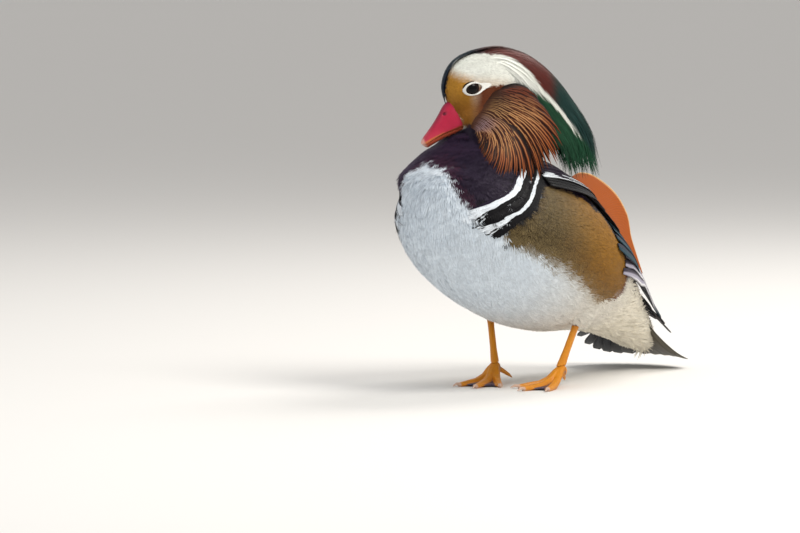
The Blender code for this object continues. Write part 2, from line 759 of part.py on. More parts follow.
# Legs and feet
ANKLES = {"left": Vector((0.0240, 0.0000, 0.0135)), "right": Vector((-0.0235, -0.0050, 0.0135))}
HEELS = {"left": Vector((0.0320, 0.0120, 0.0500)), "right": Vector((-0.0375, 0.0080, 0.0500))}
TOE_TURN = {"left": math.radians(2.0), "right": math.radians(-16.0)}
# A foot's toes: turn away from straight ahead towards the outside, and length with the claw
TOES = [("outer", 22.0, 0.040), ("middle", -1.0, 0.0455), ("inner", -25.0, 0.0355)]
# The shank's radius by share of the way from heel to ankle
SHANK = [(-0.20, 0.0044), (-0.05, 0.0042), (0.10, 0.0030), (0.40, 0.0023), (0.75, 0.0024), (1.06, 0.0031)]
# A toe by share of its length: height of its middle over the floor, and radius
TOE = [
    (0.00, 0.0115, 0.0031),
    (0.14, 0.0085, 0.0029),
    (0.28, 0.0045, 0.0026),
    (0.44, 0.0022, 0.0027),
    (0.64, 0.0017, 0.0024),
    (0.86, 0.0012, 0.0017),
]
# A claw by share of its length: height over the toe's end, and radius
CLAW_LENGTH = 0.0075
CLAW = [(0.0, 0.0004, 0.0013), (0.5, 0.0009, 0.0011), (1.0, -0.0004, 0.0004)]
# The hind toe by share of its length: drop and radius
HIND_TOE_LENGTH = 0.0115
HIND_TOE = [(0.0, 0.0, 0.0020), (0.5, 0.0025, 0.0017), (1.0, 0.0055, 0.0012), (1.3, 0.0078, 0.0004)]


def shank(name, leg):
    """The scaled lower leg, from inside the belly down to the ankle."""
    heel, ankle = HEELS[leg], ANKLES[leg]
    forward = (ankle - heel).normalized().cross(X_AXIS)
    return loft(name, [oval(heel.lerp(ankle, t), X_AXIS, forward, r * 0.92, r * 1.12, 10) for t, r in SHANK])


def toe_path(ankle, heading, length):
    """From the ankle down to the floor and along it."""
    ahead = Vector((-math.sin(heading), -math.cos(heading), 0))
    start = Vector((ankle.x, ankle.y, 0))
    return [start + ahead * length * t + Z_AXIS * z for t, z, _ in TOE], ahead


def toe(ankle, heading, length):
    path, ahead = toe_path(ankle, heading, length)
    side = ahead.cross(Z_AXIS)
    digit = loft("toe", [oval(p, side, Z_AXIS, row[2], row[2], 6) for p, row in zip(path, TOE)])
    base = path[-1] - ahead * 0.0012
    nail = []
    for t, rise, radius in CLAW:
        nail.append(oval(base + ahead * CLAW_LENGTH * t + Z_AXIS * rise, side, Z_AXIS, radius, radius, 5))
    return [digit, loft("claw", nail)]


def web(ankle, heading_a, length_a, heading_b, length_b):
    """The skin between two toes, hollowed at its front edge."""
    path_a, _ = toe_path(ankle, heading_a, length_a)
    path_b, _ = toe_path(ankle, heading_b, length_b)
    rings = []
    for step in range(5):
        t = step / 4
        ends = [a.lerp(b, t) for a, b in zip(path_a, path_b)][1:]
        pull = math.sin(math.pi * t)
        ends[-1] = ends[-1].lerp(ends[-2], pull * 0.75)
        ends[-2] = ends[-2].lerp(ends[-3], pull * 0.30)
        top = [p + Z_AXIS * (0.0003 - 0.0006 * pull * min(1.0, p.z / 0.006)) for p in ends]
        bottom = [p - Z_AXIS * 0.0009 for p in reversed(top)]
        rings.append(top + bottom)
    return loft("web", rings)


def hind_toe(ankle, heading, side):
    """The small toe that hangs behind the foot."""
    way = Vector((math.sin(heading) * 0.9 - side * 0.45, math.cos(heading) * 0.9, 0)).normalized()
    across, rise = way.cross(Z_AXIS).normalized(), (Z_AXIS + way * 0.5).normalized()
    root = Vector((ankle.x, ankle.y, 0.0105))
    rings = []
    for t, drop, radius in HIND_TOE:
        place = root + way * HIND_TOE_LENGTH * t - Z_AXIS * drop
        rings.append(oval(place, across, rise, radius, radius, 6))
    return loft("hind_toe", rings)


def foot_parts(name, leg):
    ankle = ANKLES[leg]
    side = 1 if leg == "left" else -1
    headings = [TOE_TURN[leg] - side * math.radians(turn) for _, turn, _ in TOES]
    parts = [ellipsoid(name, (ankle.x, ankle.y, 0.0100), (0.0038, 0.0042, 0.0042), None, 10, 6)]
    for heading, (_, _, length) in zip(headings, TOES):
        parts += toe(ankle, heading, length)
    for k in (0, 1):
        parts.append(web(ankle, headings[k], TOES[k][2], headings[k + 1], TOES[k + 1][2]))
    parts.append(hind_toe(ankle, TOE_TURN[leg], side))
    return parts


def floor_block():
    """What lies below the floor, to cut the soles flat."""
    bm = bmesh.new()
    bmesh.ops.create_cube(bm, size=1.0)
    bmesh.ops.transform(bm, matrix=Matrix.Translation((0, 0, -0.5)), verts=bm.verts)
    return new_object("floor", bm)


def paint(thing, skin):
    """Gives a piece its plain material."""
    colour, roughness, metallic = SKINS[skin]
    material = bpy.data.materials.get(skin) or bpy.data.materials.new(skin)
    material.use_nodes = True
    surface = material.node_tree.nodes["Principled BSDF"]
    surface.inputs["Base Color"].default_value = (*colour, 1.0)
    surface.inputs["Roughness"].default_value = roughness
    surface.inputs["Metallic"].default_value = metallic
    thing.data.materials.clear()
    thing.data.materials.append(material)
    thing.data.shade_smooth()
    thing.data.set_sharp_from_angle(angle=math.radians(40))


def fused(parts):
    """Joins a list of closed pieces to the first of them, and keeps the clearance round each."""
    room = clearances(parts)
    if len(parts) > 1:
        boolean(parts[0], parts[1:], "UNION")
    return parts[0], room


def build():
    rng = random.Random(7)
    flesh = flesh_form()
    skin = surface_of(flesh)
    back = surface_of(trunk_form())
    flesh_room = clearances([flesh])
    sides = {"left": 1, "right": -1}

    head_cut = (on_head(0, 0.0100, -0.0300), (HEAD.to_3x3() @ Vector((0, -0.12, 1.0))).normalized())
    neck_cut = (Vector((0, -0.0560, 0.1420)), Vector((0, -0.20, 1.0)).normalized())
    tail_cut = (Vector((0, 0.1060, 0.0370)), Vector((0, 1.0, -0.35)).normalized())
    half = GAP / 2

    def beyond(cut):
        return (cut[0] + cut[1] * half, -cut[1])

    def before(cut):
        return (cut[0] - cut[1] * half, cut[1])

    nodes = {}
    nodes["head"] = sliced(flesh, "head", [beyond(head_cut)])
    nodes["neck"] = sliced(flesh, "neck", [before(head_cut), beyond(neck_cut)])
    nodes["torso"] = sliced(flesh, "torso", [before(neck_cut), before(tail_cut)])
    nodes["tail"], tail_room = fused(tail_parts("tail", flesh, beyond(tail_cut)))

    # Each wing lies in a shallow bed cut from the body's side, and keeps clear of the rest of the flesh
    wing_room = {}
    for leg, side in sides.items():
        bed = wing_prism("bed", back, side, 0.004, WING_DEPTH + GAP, GAP)
        carve(nodes["torso"], [bed])
        carve(nodes["neck"], [bed])
        around = boolean(twin(flesh_room[0]), [grown(bed, -GAP)], "DIFFERENCE")
        wing, wing_room[leg] = fused(wing_parts("wing_" + leg, back, side))
        nodes["wing_" + leg] = carve(wing, [around])
        nodes["sail_" + leg] = carve(sail("sail_" + leg, side), [around])
        carve(nodes["sail_" + leg], wing_room[leg])
        remove([around])
        carve(nodes["tail"], wing_room[leg])

    for leg, side in sides.items():
        nodes["eye_" + leg] = add_eye(nodes["head"], "eye_" + leg, side)
    upper = loft("bill_upper", bill_rings(True))
    upper_room = clearances([upper])
    boolean(upper, [nostril(1), nostril(-1)], "DIFFERENCE")
    nodes["bill_upper"] = carve(upper, flesh_room)
    nodes["bill_lower"] = carve(loft("bill_lower", bill_rings(False)), flesh_room)
    carve(nodes["bill_lower"], upper_room)

    crest, crest_room = fused(crest_parts("crest", rng))
    nodes["crest"] = carve(crest, flesh_room)
    for leg in sides:
        carve(nodes["crest"], wing_room[leg])
    for leg, side in sides.items():
        plumes, _ = fused(ruff_parts("ruff_" + leg, side, skin, rng))
        nodes["ruff_" + leg] = carve(carve(plumes, flesh_room), crest_room)
        carve(nodes["ruff_" + leg], wing_room[leg])
        foot, foot_room = fused(foot_parts("foot_" + leg, leg))
        nodes["foot_" + leg] = boolean(foot, [floor_block()], "DIFFERENCE")
        nodes["shank_" + leg] = carve(carve(shank("shank_" + leg, leg), flesh_room), foot_room)
    for node in nodes.values():
        thinned(node)
    kept = set(nodes.values())
    remove([thing for thing in list(bpy.data.objects) if thing not in kept])
    return nodes


NODE_SKINS = {
    "torso": "breast_and_belly",
    "neck": "maroon_neck",
    "head": "pale_face",
    "crest": "green_crest",
    "ruff": "rufous_plumes",
    "wing": "dark_wing",
    "sail": "orange_sail",
    "tail": "brown_tail",
    "bill": "red_bill",
    "shank": "yellow_leg",
    "foot": "yellow_leg",
    "eye": "dark_eye",
}


def move_to_frame(nodes):
    """Puts the origin at the centre of the base, collects the pieces and paints them."""
    duck = bpy.data.collections.new("mandarin_drake")
    bpy.context.scene.collection.children.link(duck)
    for name, thing in nodes.items():
        thing.name = name
        thing.data.transform(Matrix.Translation(STAND))
        bpy.context.scene.collection.objects.unlink(thing)
        duck.objects.link(thing)
        paint(thing, NODE_SKINS[name.split("_")[0]])


clear_scene()
move_to_frame(build())
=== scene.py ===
# %% [markdown]
# # A mandarin drake, feather by feather
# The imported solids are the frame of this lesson. We dress them as a museum modeller would: a smooth skin
# first, then thousands of small feathers laid on it in the way that they grow, then the big wing, sail,
# tail, crest and ruff feathers one by one, and last the eyes, the bill and the feet.
#
# Everything is in metres. The bird faces -Y, its left side is +X, and it stands on the floor at Z = 0.

# %% Load the frame and keep its box
import math

import bmesh
import bpy
import numpy as np
from mathutils import Matrix, Vector
from mathutils.bvhtree import BVHTree


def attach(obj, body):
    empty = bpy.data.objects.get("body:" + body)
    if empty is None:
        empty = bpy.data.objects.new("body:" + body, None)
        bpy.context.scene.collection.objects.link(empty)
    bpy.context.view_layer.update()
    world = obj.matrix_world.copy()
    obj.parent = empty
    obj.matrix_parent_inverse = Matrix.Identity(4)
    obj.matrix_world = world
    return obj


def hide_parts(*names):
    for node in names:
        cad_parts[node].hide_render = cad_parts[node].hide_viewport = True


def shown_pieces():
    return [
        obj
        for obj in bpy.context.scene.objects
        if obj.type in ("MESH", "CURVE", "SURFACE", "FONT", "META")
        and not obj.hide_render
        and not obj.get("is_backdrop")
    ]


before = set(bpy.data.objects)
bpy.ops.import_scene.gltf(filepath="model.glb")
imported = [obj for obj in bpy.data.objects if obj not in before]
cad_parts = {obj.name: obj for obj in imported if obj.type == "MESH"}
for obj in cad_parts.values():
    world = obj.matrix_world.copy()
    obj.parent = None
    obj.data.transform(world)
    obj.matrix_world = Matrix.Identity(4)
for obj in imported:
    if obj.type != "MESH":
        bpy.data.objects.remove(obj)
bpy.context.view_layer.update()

SIDES = ((1, "left"), (-1, "right"))
print("nodes:", ", ".join(sorted(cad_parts)))

# %% [markdown]
# ## Measures that the whole bird shares
# The trunk's outline, the neck, the head's place and the ridge of the crest are the same named values that
# the solids were made from. Keeping them as short tables means that skin, markings and feathers all agree.

# %% Driving measures
STAND = Vector((0.0, -0.0300, 0.0))
HEAD_TURN, HEAD_PITCH = math.radians(34.0), math.radians(30.0)
HEAD_CENTRE = Vector((-0.010, -0.057, 0.188))
HEAD = Matrix.Translation(STAND + HEAD_CENTRE) @ Matrix.Rotation(-HEAD_TURN, 4, "Z")
BOW = Matrix.Rotation(HEAD_PITCH, 4, "X")
# Distance behind the feet, height of the belly and of the back, half width
TRUNK = [
    (-0.1085, 0.1150, 0.1190, 0.0020), (-0.1055, 0.0985, 0.1330, 0.0190), (-0.0975, 0.0860, 0.1410, 0.0335),
    (-0.0850, 0.0730, 0.1450, 0.0440), (-0.0660, 0.0590, 0.1470, 0.0525), (-0.0420, 0.0465, 0.1470, 0.0570),
    (-0.0150, 0.0370, 0.1445, 0.0580), (0.0120, 0.0325, 0.1385, 0.0555), (0.0400, 0.0315, 0.1220, 0.0490),
    (0.0660, 0.0285, 0.0990, 0.0390), (0.0920, 0.0225, 0.0740, 0.0280), (0.1120, 0.0160, 0.0560, 0.0200),
    (0.1260, 0.0130, 0.0430, 0.0135), (0.1330, 0.0160, 0.0320, 0.0070),
]
# The neck's middle (left, back), its height there, half width and half depth
NECK = [
    (-0.002, -0.058, 0.1180, 0.0440, 0.0480), (-0.008, -0.058, 0.1340, 0.0420, 0.0450),
    (-0.007, -0.053, 0.1440, 0.0370, 0.0400), (-0.006, -0.050, 0.1500, 0.0330, 0.0350),
    (-0.006, -0.047, 0.1570, 0.0250, 0.0255), (-0.006, -0.046, 0.1650, 0.0200, 0.0205),
    (-0.006, -0.046, 0.1800, 0.0170, 0.0190),
]
# Middle and radii of the head's eggs: brain, brow ridge, cheeks, chin and forehead
HEAD_FORMS = [
    ((0, 0.0130, -0.0010), (0.0165, 0.0275, 0.0225)), ((0, 0.0005, -0.0010), (0.0130, 0.0135, 0.0180)),
    ((0, 0.0080, -0.0140), (0.0168, 0.0190, 0.0150)), ((0, -0.0035, -0.0160), (0.0088, 0.0105, 0.0095)),
    ((0, 0.0110, 0.0075), (0.0146, 0.0250, 0.0148)),
]
EYE_PLACE, EYE_RADIUS, EYE_TILT = (0.0092, 0.0, 0.0012), 0.0060, math.radians(15)
EYE_OPENING = (0.0050, 0.0033)
HIP, THIGH_RADII = (0.0310, 0.0100, 0.0560), (0.011, 0.014, 0.0185)
# Under the folded wings the skin lies lower: distance behind the feet, drop of the back, narrowing a side
SLIM = [
    (-0.0200, 0.0000, 0.0000), (0.0120, 0.0045, 0.0000), (0.0400, 0.0085, 0.0005), (0.0660, 0.0065, 0.0018),
    (0.0920, 0.0042, 0.0035), (0.1120, 0.0030, 0.0042), (0.1260, 0.0018, 0.0032), (0.1330, 0.0000, 0.0010),
]
BACK_NARROWING = 0.16
print("trunk from %.0f to %.0f mm behind the feet" % (TRUNK[0][0] * 1000, TRUNK[-1][0] * 1000))


# %% Curves and places
def curve(knots, places):
    """Values at many places on a smooth curve through (place, value) knots, with no overshoot."""
    xs, ys = np.array(knots, float).T
    slopes = np.diff(ys) / np.diff(xs)
    product, total = slopes[:-1] * slopes[1:], slopes[:-1] + slopes[1:]
    inner = np.where(product > 0, 2 * product / np.where(total == 0, 1, total), 0)
    tangents = np.concatenate([slopes[:1], inner, slopes[-1:]])
    places = np.clip(places, xs[0], xs[-1])
    i = np.clip(np.searchsorted(xs, places) - 1, 0, len(xs) - 2)
    width = xs[i + 1] - xs[i]
    t = (places - xs[i]) / width
    return (
        (1 + 2 * t) * (1 - t) ** 2 * ys[i] + t * (1 - t) ** 2 * width * tangents[i]
        + t * t * (3 - 2 * t) * ys[i + 1] + t * t * (t - 1) * width * tangents[i + 1]
    )


def columns_of(rows, place, values):
    """Curves of some columns of a table against another one."""
    return [[(row[place], row[k]) for row in rows] for k in values]


def rise(low, high, x):
    """A smooth step from 0 at low to 1 at high; it falls where high is the smaller."""
    t = np.clip((x - low) / (high - low), 0, 1)
    return t * t * (3 - 2 * t)


def unit(vectors):
    return vectors / np.maximum(np.linalg.norm(vectors, axis=-1, keepdims=True), 1e-9)


TRUNK_LINES, SLIM_LINES = columns_of(TRUNK, 0, (1, 2, 3)), columns_of(SLIM, 0, (1, 2))
TRUNK_FRONT, TRUNK_LENGTH = TRUNK[0][0], TRUNK[-1][0] - TRUNK[0][0]
HEAD_IN, HEAD_OUT = np.array(HEAD.inverted()), np.array(HEAD)
HEAD_LEFT = HEAD.to_3x3() @ Vector((1, 0, 0))


def trunk_middle(y):
    return (curve(TRUNK_LINES[0], y) + curve(TRUNK_LINES[1], y)) / 2


def trunk_place(points):
    """Distance behind the feet, and signed degrees round from the spine."""
    y = points[:, 1] - STAND.y
    return y, np.degrees(np.arctan2(points[:, 0], points[:, 2] - trunk_middle(y)))


def head_place(points):
    """Left, back and up from the middle of the head."""
    return points @ HEAD_IN[:3, :3].T + HEAD_IN[:3, 3]


def from_head(local):
    return local @ HEAD_OUT[:3, :3].T + HEAD_OUT[:3, 3]


print("the head looks %.0f degrees to the right" % math.degrees(HEAD_TURN))

# %% [markdown]
# ## Node helpers
# A node tree is written quickest with a few small helpers: one that feeds a socket with a number, a colour
# or another socket, and one that adds a node with all its inputs at once.

# %% Nodes and materials
def feed(tree, socket, value):
    """Links a socket from another one, or sets its number, vector or colour."""
    if isinstance(value, bpy.types.NodeSocket):
        tree.links.new(value, socket)
    elif socket.type == "RGBA" and len(value) == 3:
        socket.default_value = (*value, 1.0)
    else:
        socket.default_value = value


def add_node(tree, kind, inputs=None, **traits):
    made = tree.nodes.new("ShaderNode" + kind)
    for trait, value in traits.items():
        setattr(made, trait, value)
    for label, value in (inputs or {}).items():
        feed(tree, made.inputs[label], value)
    return made


def maths(tree, operation, *values):
    """The result of a Math node; each value is a number or a socket."""
    made = add_node(tree, "Math", dict(enumerate(values)), operation=operation)
    return made.outputs[0]


def blend_colour(tree, share, low, high, kind="MIX"):
    inputs = {"Factor": share, "A": low, "B": high}
    return add_node(tree, "Mix", inputs, data_type="RGBA", blend_type=kind).outputs["Result"]


def attribute(tree, name):
    return add_node(tree, "Attribute", attribute_name=name, attribute_type="GEOMETRY").outputs


def object_place(tree):
    return add_node(tree, "TexCoord").outputs["Object"]


def bumped(tree, shader, height, strength, distance):
    """Tilts a shader's normals by a height."""
    relief = add_node(tree, "Bump", {"Strength": strength, "Distance": distance, "Height": height})
    feed(tree, shader.inputs["Normal"], relief.outputs["Normal"])


def new_material(name, values):
    """A material with these values on its shader, and with its tree and shader at hand."""
    material = bpy.data.materials.new(name)
    material.use_nodes = True
    tree = material.node_tree
    shader = tree.nodes["Principled BSDF"]
    for label, value in values.items():
        feed(tree, shader.inputs[label], value)
    return material, tree, shader


def new_group(name, ins, outs):
    """A node group with named (kind, name, default) inputs and (kind, name) outputs."""
    group = bpy.data.node_groups.new(name, "ShaderNodeTree")
    for kind, label, default in ins:
        socket = group.interface.new_socket(name=label, in_out="INPUT", socket_type="NodeSocket" + kind)
        socket.default_value = default
    for kind, label in outs:
        group.interface.new_socket(name=label, in_out="OUTPUT", socket_type="NodeSocket" + kind)
    return group, group.nodes.new("NodeGroupInput").outputs, group.nodes.new("NodeGroupOutput").inputs


print("node helpers ready")

# %% [markdown]
# ## The camera, the light and the floor
# A bird portrait is shot with a long lens from a little above the bird's own height, so the lines stay
# nearly parallel. The lens follows from the width of the view and the distance. The light is one large
# soft window to the front right, a weaker one to the left, and a rim behind.

# %% Camera
MM_PER_PIXEL, VIEW_DISTANCE, VIEW_WIDTH, SENSOR = 0.633e-3, 3.0, 800, 36
AZIMUTH, ELEVATION = 36.0, 4.0
FEET_PIXEL, FRAME_MIDDLE = (530, 385), (400, 266.5)


def mesh_object(name, body):
    """A new object from this bmesh, in the scene."""
    mesh = bpy.data.meshes.new(name)
    body.to_mesh(mesh)
    body.free()
    return scene_object(name, mesh)


def scene_object(name, data):
    made = bpy.data.objects.new(name, data)
    bpy.context.scene.collection.objects.link(made)
    return made


def sight(azimuth, elevation):
    """The way towards a viewer so many degrees round from the bird's front, and so many up."""
    a, e = math.radians(azimuth), math.radians(elevation)
    return Vector((math.sin(a) * math.cos(e), -math.cos(a) * math.cos(e), math.sin(e)))


def look(name, data, aim, way, distance):
    """A camera or a lamp that looks at its aim from a distance."""
    made = scene_object(name, data)
    made.location = aim + way * distance
    made.rotation_euler = (-way).to_track_quat("-Z", "Y").to_euler()
    return made


turn = math.radians(AZIMUTH)
aim = STAND + Vector((math.cos(turn), math.sin(turn), 0)) * (FRAME_MIDDLE[0] - FEET_PIXEL[0]) * MM_PER_PIXEL
aim += Vector((0, 0, (FEET_PIXEL[1] - FRAME_MIDDLE[1]) * MM_PER_PIXEL))
camera = look("camera", bpy.data.cameras.new("camera"), aim, sight(AZIMUTH, ELEVATION), VIEW_DISTANCE)
camera.data.sensor_width, camera.data.clip_end = SENSOR, 50
camera.data.lens = SENSOR * VIEW_DISTANCE / (VIEW_WIDTH * MM_PER_PIXEL)
bpy.context.scene.camera = camera
bpy.context.scene.view_settings.view_transform = "Standard"
print("lens %.0f mm" % camera.data.lens)

# %% Lights and floor
LIGHT_AIM = Vector((0, 0, 0.11))
# Azimuth, elevation, distance, size, power and colour
LIGHTS = {
    "key": (78, 48, 1.5, 0.7, 15.5, (1.0, 0.96, 0.90)),
    "fill": (-15, 22, 1.7, 1.2, 4.5, (0.86, 0.93, 1.0)),
    "rim": (175, 50, 1.5, 0.8, 12.0, (1.0, 0.97, 0.93)),
}
for name, (azimuth, elevation, distance, size, power, colour) in LIGHTS.items():
    light = bpy.data.lights.new(name, "AREA")
    light.size, light.energy, light.color = size, power, colour
    look(name, light, LIGHT_AIM, sight(azimuth, elevation), distance)

world = bpy.data.worlds.new("studio")
bpy.context.scene.world = world
world.use_nodes = True
sky = world.node_tree.nodes["Background"].inputs
sky["Color"].default_value, sky["Strength"].default_value = (0.97, 0.95, 0.93, 1), 0.58

sheet = bmesh.new()
bmesh.ops.create_grid(sheet, x_segments=1, y_segments=1, size=80.0)
floor = mesh_object("floor", sheet)
paper, _, _ = new_material("pale_paper", {"Base Color": (0.80, 0.79, 0.77), "Roughness": 0.9})
floor.data.materials.append(paper)
floor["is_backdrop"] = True
print("floor,", len(LIGHTS), "lights and a pale sky")

# %% [markdown]
# ## One skin for trunk, neck and head
# A skin could be sculpted, but forms that are turned from profiles stay easy to correct. Each form starts
# as a sphere whose rings are moved out to the tables, and a voxel remesh melts them into one closed skin.
# Smoothing takes the seams out, and a small step inwards leaves room for the coat of feathers.

# %% Turned forms
SKIN_DEPTH, VOXEL, SMOOTHINGS = 0.0013, 0.0018, 9


def ball(name, segments, rings, matrix, shape=None):
    """A sphere under a matrix, whose points shape() may then move."""
    body = bmesh.new()
    bmesh.ops.create_uvsphere(body, u_segments=segments, v_segments=rings, radius=1.0)
    bmesh.ops.transform(body, matrix=matrix, verts=body.verts)
    if shape:
        for vert, place in zip(body.verts, shape(np.array([vert.co for vert in body.verts]))):
            vert.co = place
    return mesh_object(name, body)


def round_way(points, *axes):
    """The way from an axis to each point, as two columns."""
    a, b = (points[:, k] for k in axes)
    size = np.maximum(np.hypot(a, b), 1e-6)
    return a / size, b / size


def trunk_places(sphere):
    y = TRUNK_FRONT + TRUNK_LENGTH * (sphere[:, 1] + 1) / 2
    aside, upward = round_way(sphere, 0, 2)
    low, high, half = (curve(line, y) for line in TRUNK_LINES)
    drop, narrowing = (curve(line, y) for line in SLIM_LINES)
    middle = (low + high) / 2
    high, half = high - drop, half - narrowing
    narrow = 1 - BACK_NARROWING * np.maximum(0, upward)
    height = np.where(upward > 0, high - middle, middle - low)
    return np.stack([aside * half * narrow, y, middle + upward * height], axis=1)


def neck_places(sphere):
    z = NECK[0][2] + (NECK[-1][2] - NECK[0][2]) * (sphere[:, 2] + 1) / 2
    aside, back = round_way(sphere, 0, 1)
    x, y, wide, deep = (curve(line, z) for line in columns_of(NECK, 2, (0, 1, 3, 4)))
    return np.stack([x + aside * wide, y + back * deep, z], axis=1)


def egg(name, place, radii):
    return ball(name, 40, 24, place @ Matrix.Diagonal((*radii, 1.0)))


def tube(name, rings, closed=True):
    """A skin through rings of places, from an array of (rings, places round, 3)."""
    body = bmesh.new()
    loops = []
    for ring in rings:
        verts = [body.verts.new(place) for place in ring]
        loops.append([body.edges.new(pair) for pair in zip(verts, verts[1:] + verts[:1])])
    for low, high in zip(loops, loops[1:]):
        bmesh.ops.bridge_loops(body, edges=low + high)
    if closed:
        for ring in (loops[0], loops[-1]):
            bmesh.ops.triangle_fill(body, edges=ring, use_beauty=True)
    bmesh.ops.recalc_face_normals(body, faces=body.faces)
    return mesh_object(name, body)


print("room of %.1f mm for the coat, voxels of %.1f mm" % (SKIN_DEPTH * 1000, VOXEL * 1000))

# %% The crest's form
# Back and up of the ridge, half width and depth under it
RIDGE = [
    (-0.0150, -0.0090, 0.0026, 0.0050), (-0.0162, 0.0000, 0.0042, 0.0070), (-0.0139, 0.0100, 0.0064, 0.0095),
    (-0.0070, 0.0192, 0.0088, 0.0120), (0.0060, 0.0250, 0.0112, 0.0150), (0.0215, 0.0272, 0.0128, 0.0205),
    (0.0370, 0.0236, 0.0135, 0.0275), (0.0503, 0.0158, 0.0135, 0.0325), (0.0613, 0.0055, 0.0125, 0.0345),
    (0.0713, -0.0070, 0.0110, 0.0335), (0.0788, -0.0190, 0.0095, 0.0315), (0.0838, -0.0325, 0.0080, 0.0285),
    (0.0850, -0.0470, 0.0065, 0.0250),
]


def by_share(rows):
    """Curves of a table's columns against how far down the table they stand, from 0 to 1."""
    return [[(i / (len(rows) - 1), row[k]) for i, row in enumerate(rows)] for k in range(len(rows[0]))]


RIDGE_LINES, RIDGE_LENGTH, RIDGE_STEP = by_share(RIDGE), 0.140, 0.01


def crest_places(share, degrees, lift):
    """Places over the crest and their outward ways, from arrays of how far along, how far round and lift."""
    inside = np.clip(share, 0, 1)
    back, up, half, deep = (curve(line, inside) for line in RIDGE_LINES)
    slopes = (curve(line, inside + RIDGE_STEP) - curve(line, inside - RIDGE_STEP) for line in RIDGE_LINES[:2])
    along = unit(np.stack([np.zeros_like(inside), *slopes], axis=-1))
    inward = np.stack([np.zeros_like(inside), along[..., 2], -along[..., 1]], axis=-1)
    turn = np.radians(degrees)[..., None]
    half, deep, lift = half[..., None], deep[..., None], np.asarray(lift)[..., None]
    aside = np.array([1.0, 0, 0])
    middle = np.stack([np.zeros_like(inside), back, up], axis=-1) + inward * deep / 2
    out = aside * np.sin(turn) * (half + lift) - inward * np.cos(turn) * (deep / 2 + lift)
    facing = unit(aside * np.sin(turn) / half - inward * np.cos(turn) / (deep / 2))
    past = np.maximum(share - 1, 0)[..., None] * RIDGE_LENGTH
    return middle + out + along * past, facing


def crest_tube(name, first, last, rings, sink):
    """A stretch of the crest's form, inside its outline by sink(share)."""
    turns = np.linspace(0, 360, 32, endpoint=False)
    share, turns = np.meshgrid(np.linspace(first, last, rings), turns, indexing="ij")
    made = tube(name, crest_places(share, turns, -sink(share))[0])
    made.data.transform(HEAD)
    return made


to_stand = Matrix.Translation(STAND)
trunk = ball("trunk", 72, 64, Matrix.Rotation(math.radians(90), 4, "X"), trunk_places)
neck = ball("neck_form", 48, 32, Matrix.Identity(4), neck_places)
for form in (trunk, neck):
    form.data.transform(to_stand)
forms = [trunk, neck]
forms += [egg("head_form", HEAD @ Matrix.Translation(centre) @ BOW, radii) for centre, radii in HEAD_FORMS]
forms.append(crest_tube("crest_form", 0.0, 0.5, 24, lambda share: 0.0002 + 0.0012 * rise(0.1, 0.0, share)))
for side, _ in SIDES:
    forms.append(egg("thigh", to_stand @ Matrix.Translation((side * HIP[0], *HIP[1:])), THIGH_RADII))
print(len(forms), "forms")


# %% Melt the forms into one skin
def surface_of(thing):
    """A tree of an object's faces, to lay feathers on."""
    shell = bmesh.new()
    shell.from_mesh(thing.data)
    tree = BVHTree.FromBMesh(shell)
    shell.free()
    return tree


def melted(thing, voxel, passes):
    """Remeshes an object into one skin of small squares and relaxes it."""
    melt = thing.modifiers.new("melt", "REMESH")
    melt.mode, melt.voxel_size = "VOXEL", voxel
    relax = thing.modifiers.new("relax", "SMOOTH")
    relax.factor, relax.iterations = 0.5, passes
    mesh = bpy.data.meshes.new_from_object(thing.evaluated_get(bpy.context.evaluated_depsgraph_get()))
    thing.modifiers.clear()
    thing.data = mesh
    return thing


def vertex_arrays(mesh):
    """A mesh's points and normals as arrays."""
    arrays = [np.empty(len(mesh.vertices) * 3) for _ in range(2)]
    for label, values in zip(("co", "normal"), arrays):
        mesh.vertices.foreach_get(label, values)
    return [values.reshape(-1, 3) for values in arrays]


def move_points(thing, points):
    thing.data.vertices.foreach_set("co", points.ravel())
    thing.data.update()


trunk_tree = surface_of(trunk)
joined = bmesh.new()
for form in forms:
    joined.from_mesh(form.data)
    bpy.data.objects.remove(form, do_unlink=True)
skin = melted(mesh_object("skin", joined), VOXEL, SMOOTHINGS)
points, normals = vertex_arrays(skin.data)
move_points(skin, points - normals * SKIN_DEPTH)
skin_tree = surface_of(skin)
print("skin:", len(skin.data.vertices), "points")

# %% [markdown]
# ## The markings
# The drake's pattern is told once, as a function from places on the body to colours, so that the skin and
# every feather on it agree. On the trunk a place is told by how far behind the feet it lies and how far
# round from the spine. On the head it is told in the profile's plane, back and up from the eye. A pattern
# is a base colour under coats of paint, each with a mask that says how strongly it covers.

# %% Colours
def tint(code):
    """A linear colour from a paint code of six hexadecimal digits."""
    parts = np.array([int(code[i:i + 2], 16) for i in (0, 2, 4)]) / 255
    return np.where(parts <= 0.04045, parts / 12.92, ((parts + 0.055) / 1.055) ** 2.4)


def tints(codes):
    return [tint(code) for code in codes.split()]


def mix(base, over, mask):
    return base + (over - base) * mask[:, None]


def layered(base, *coats):
    """A base colour under coats, each of them a colour and its mask."""
    for over, mask in coats:
        base = mix(base, over, mask)
    return base


# The breast's white is painted with a bluish cast and the belly's a little darker and warmer: painted shade on
# white plumage
SHADED_CHEST_WHITE, SHADED_BELLY_WHITE, CREAM, OLIVE, OCHRE, STRAW = tints("dbe5ee ddd8cc f1ead8 6c5c3a 93640c a08a5c")
PLUM, MAROON, BLACK, STRIPE = tints("231a2c 3f2030 0c0b0f e6edf4")
RUFOUS, MANTLE, RUMP_DARK = tints("5a2208 26242a 1b1a20")
FACE, GOLD, AMBER, CHEEK, CHIN = tints("eceee6 bc862c 88550f 663012 ece6d6")
NAVY, CROWN, TEAL, GREEN = tints("171e30 5a1f18 123330 174a30")
RUFF_ROOT, RUFF_DARK, RUFF_MID, RUFF_TIP = tints("55301c 2a0d06 7c3414 a4501c")
SHAFT, LILAC_SHAFT = tints("c89a62 a88d96")
print("paints ready")

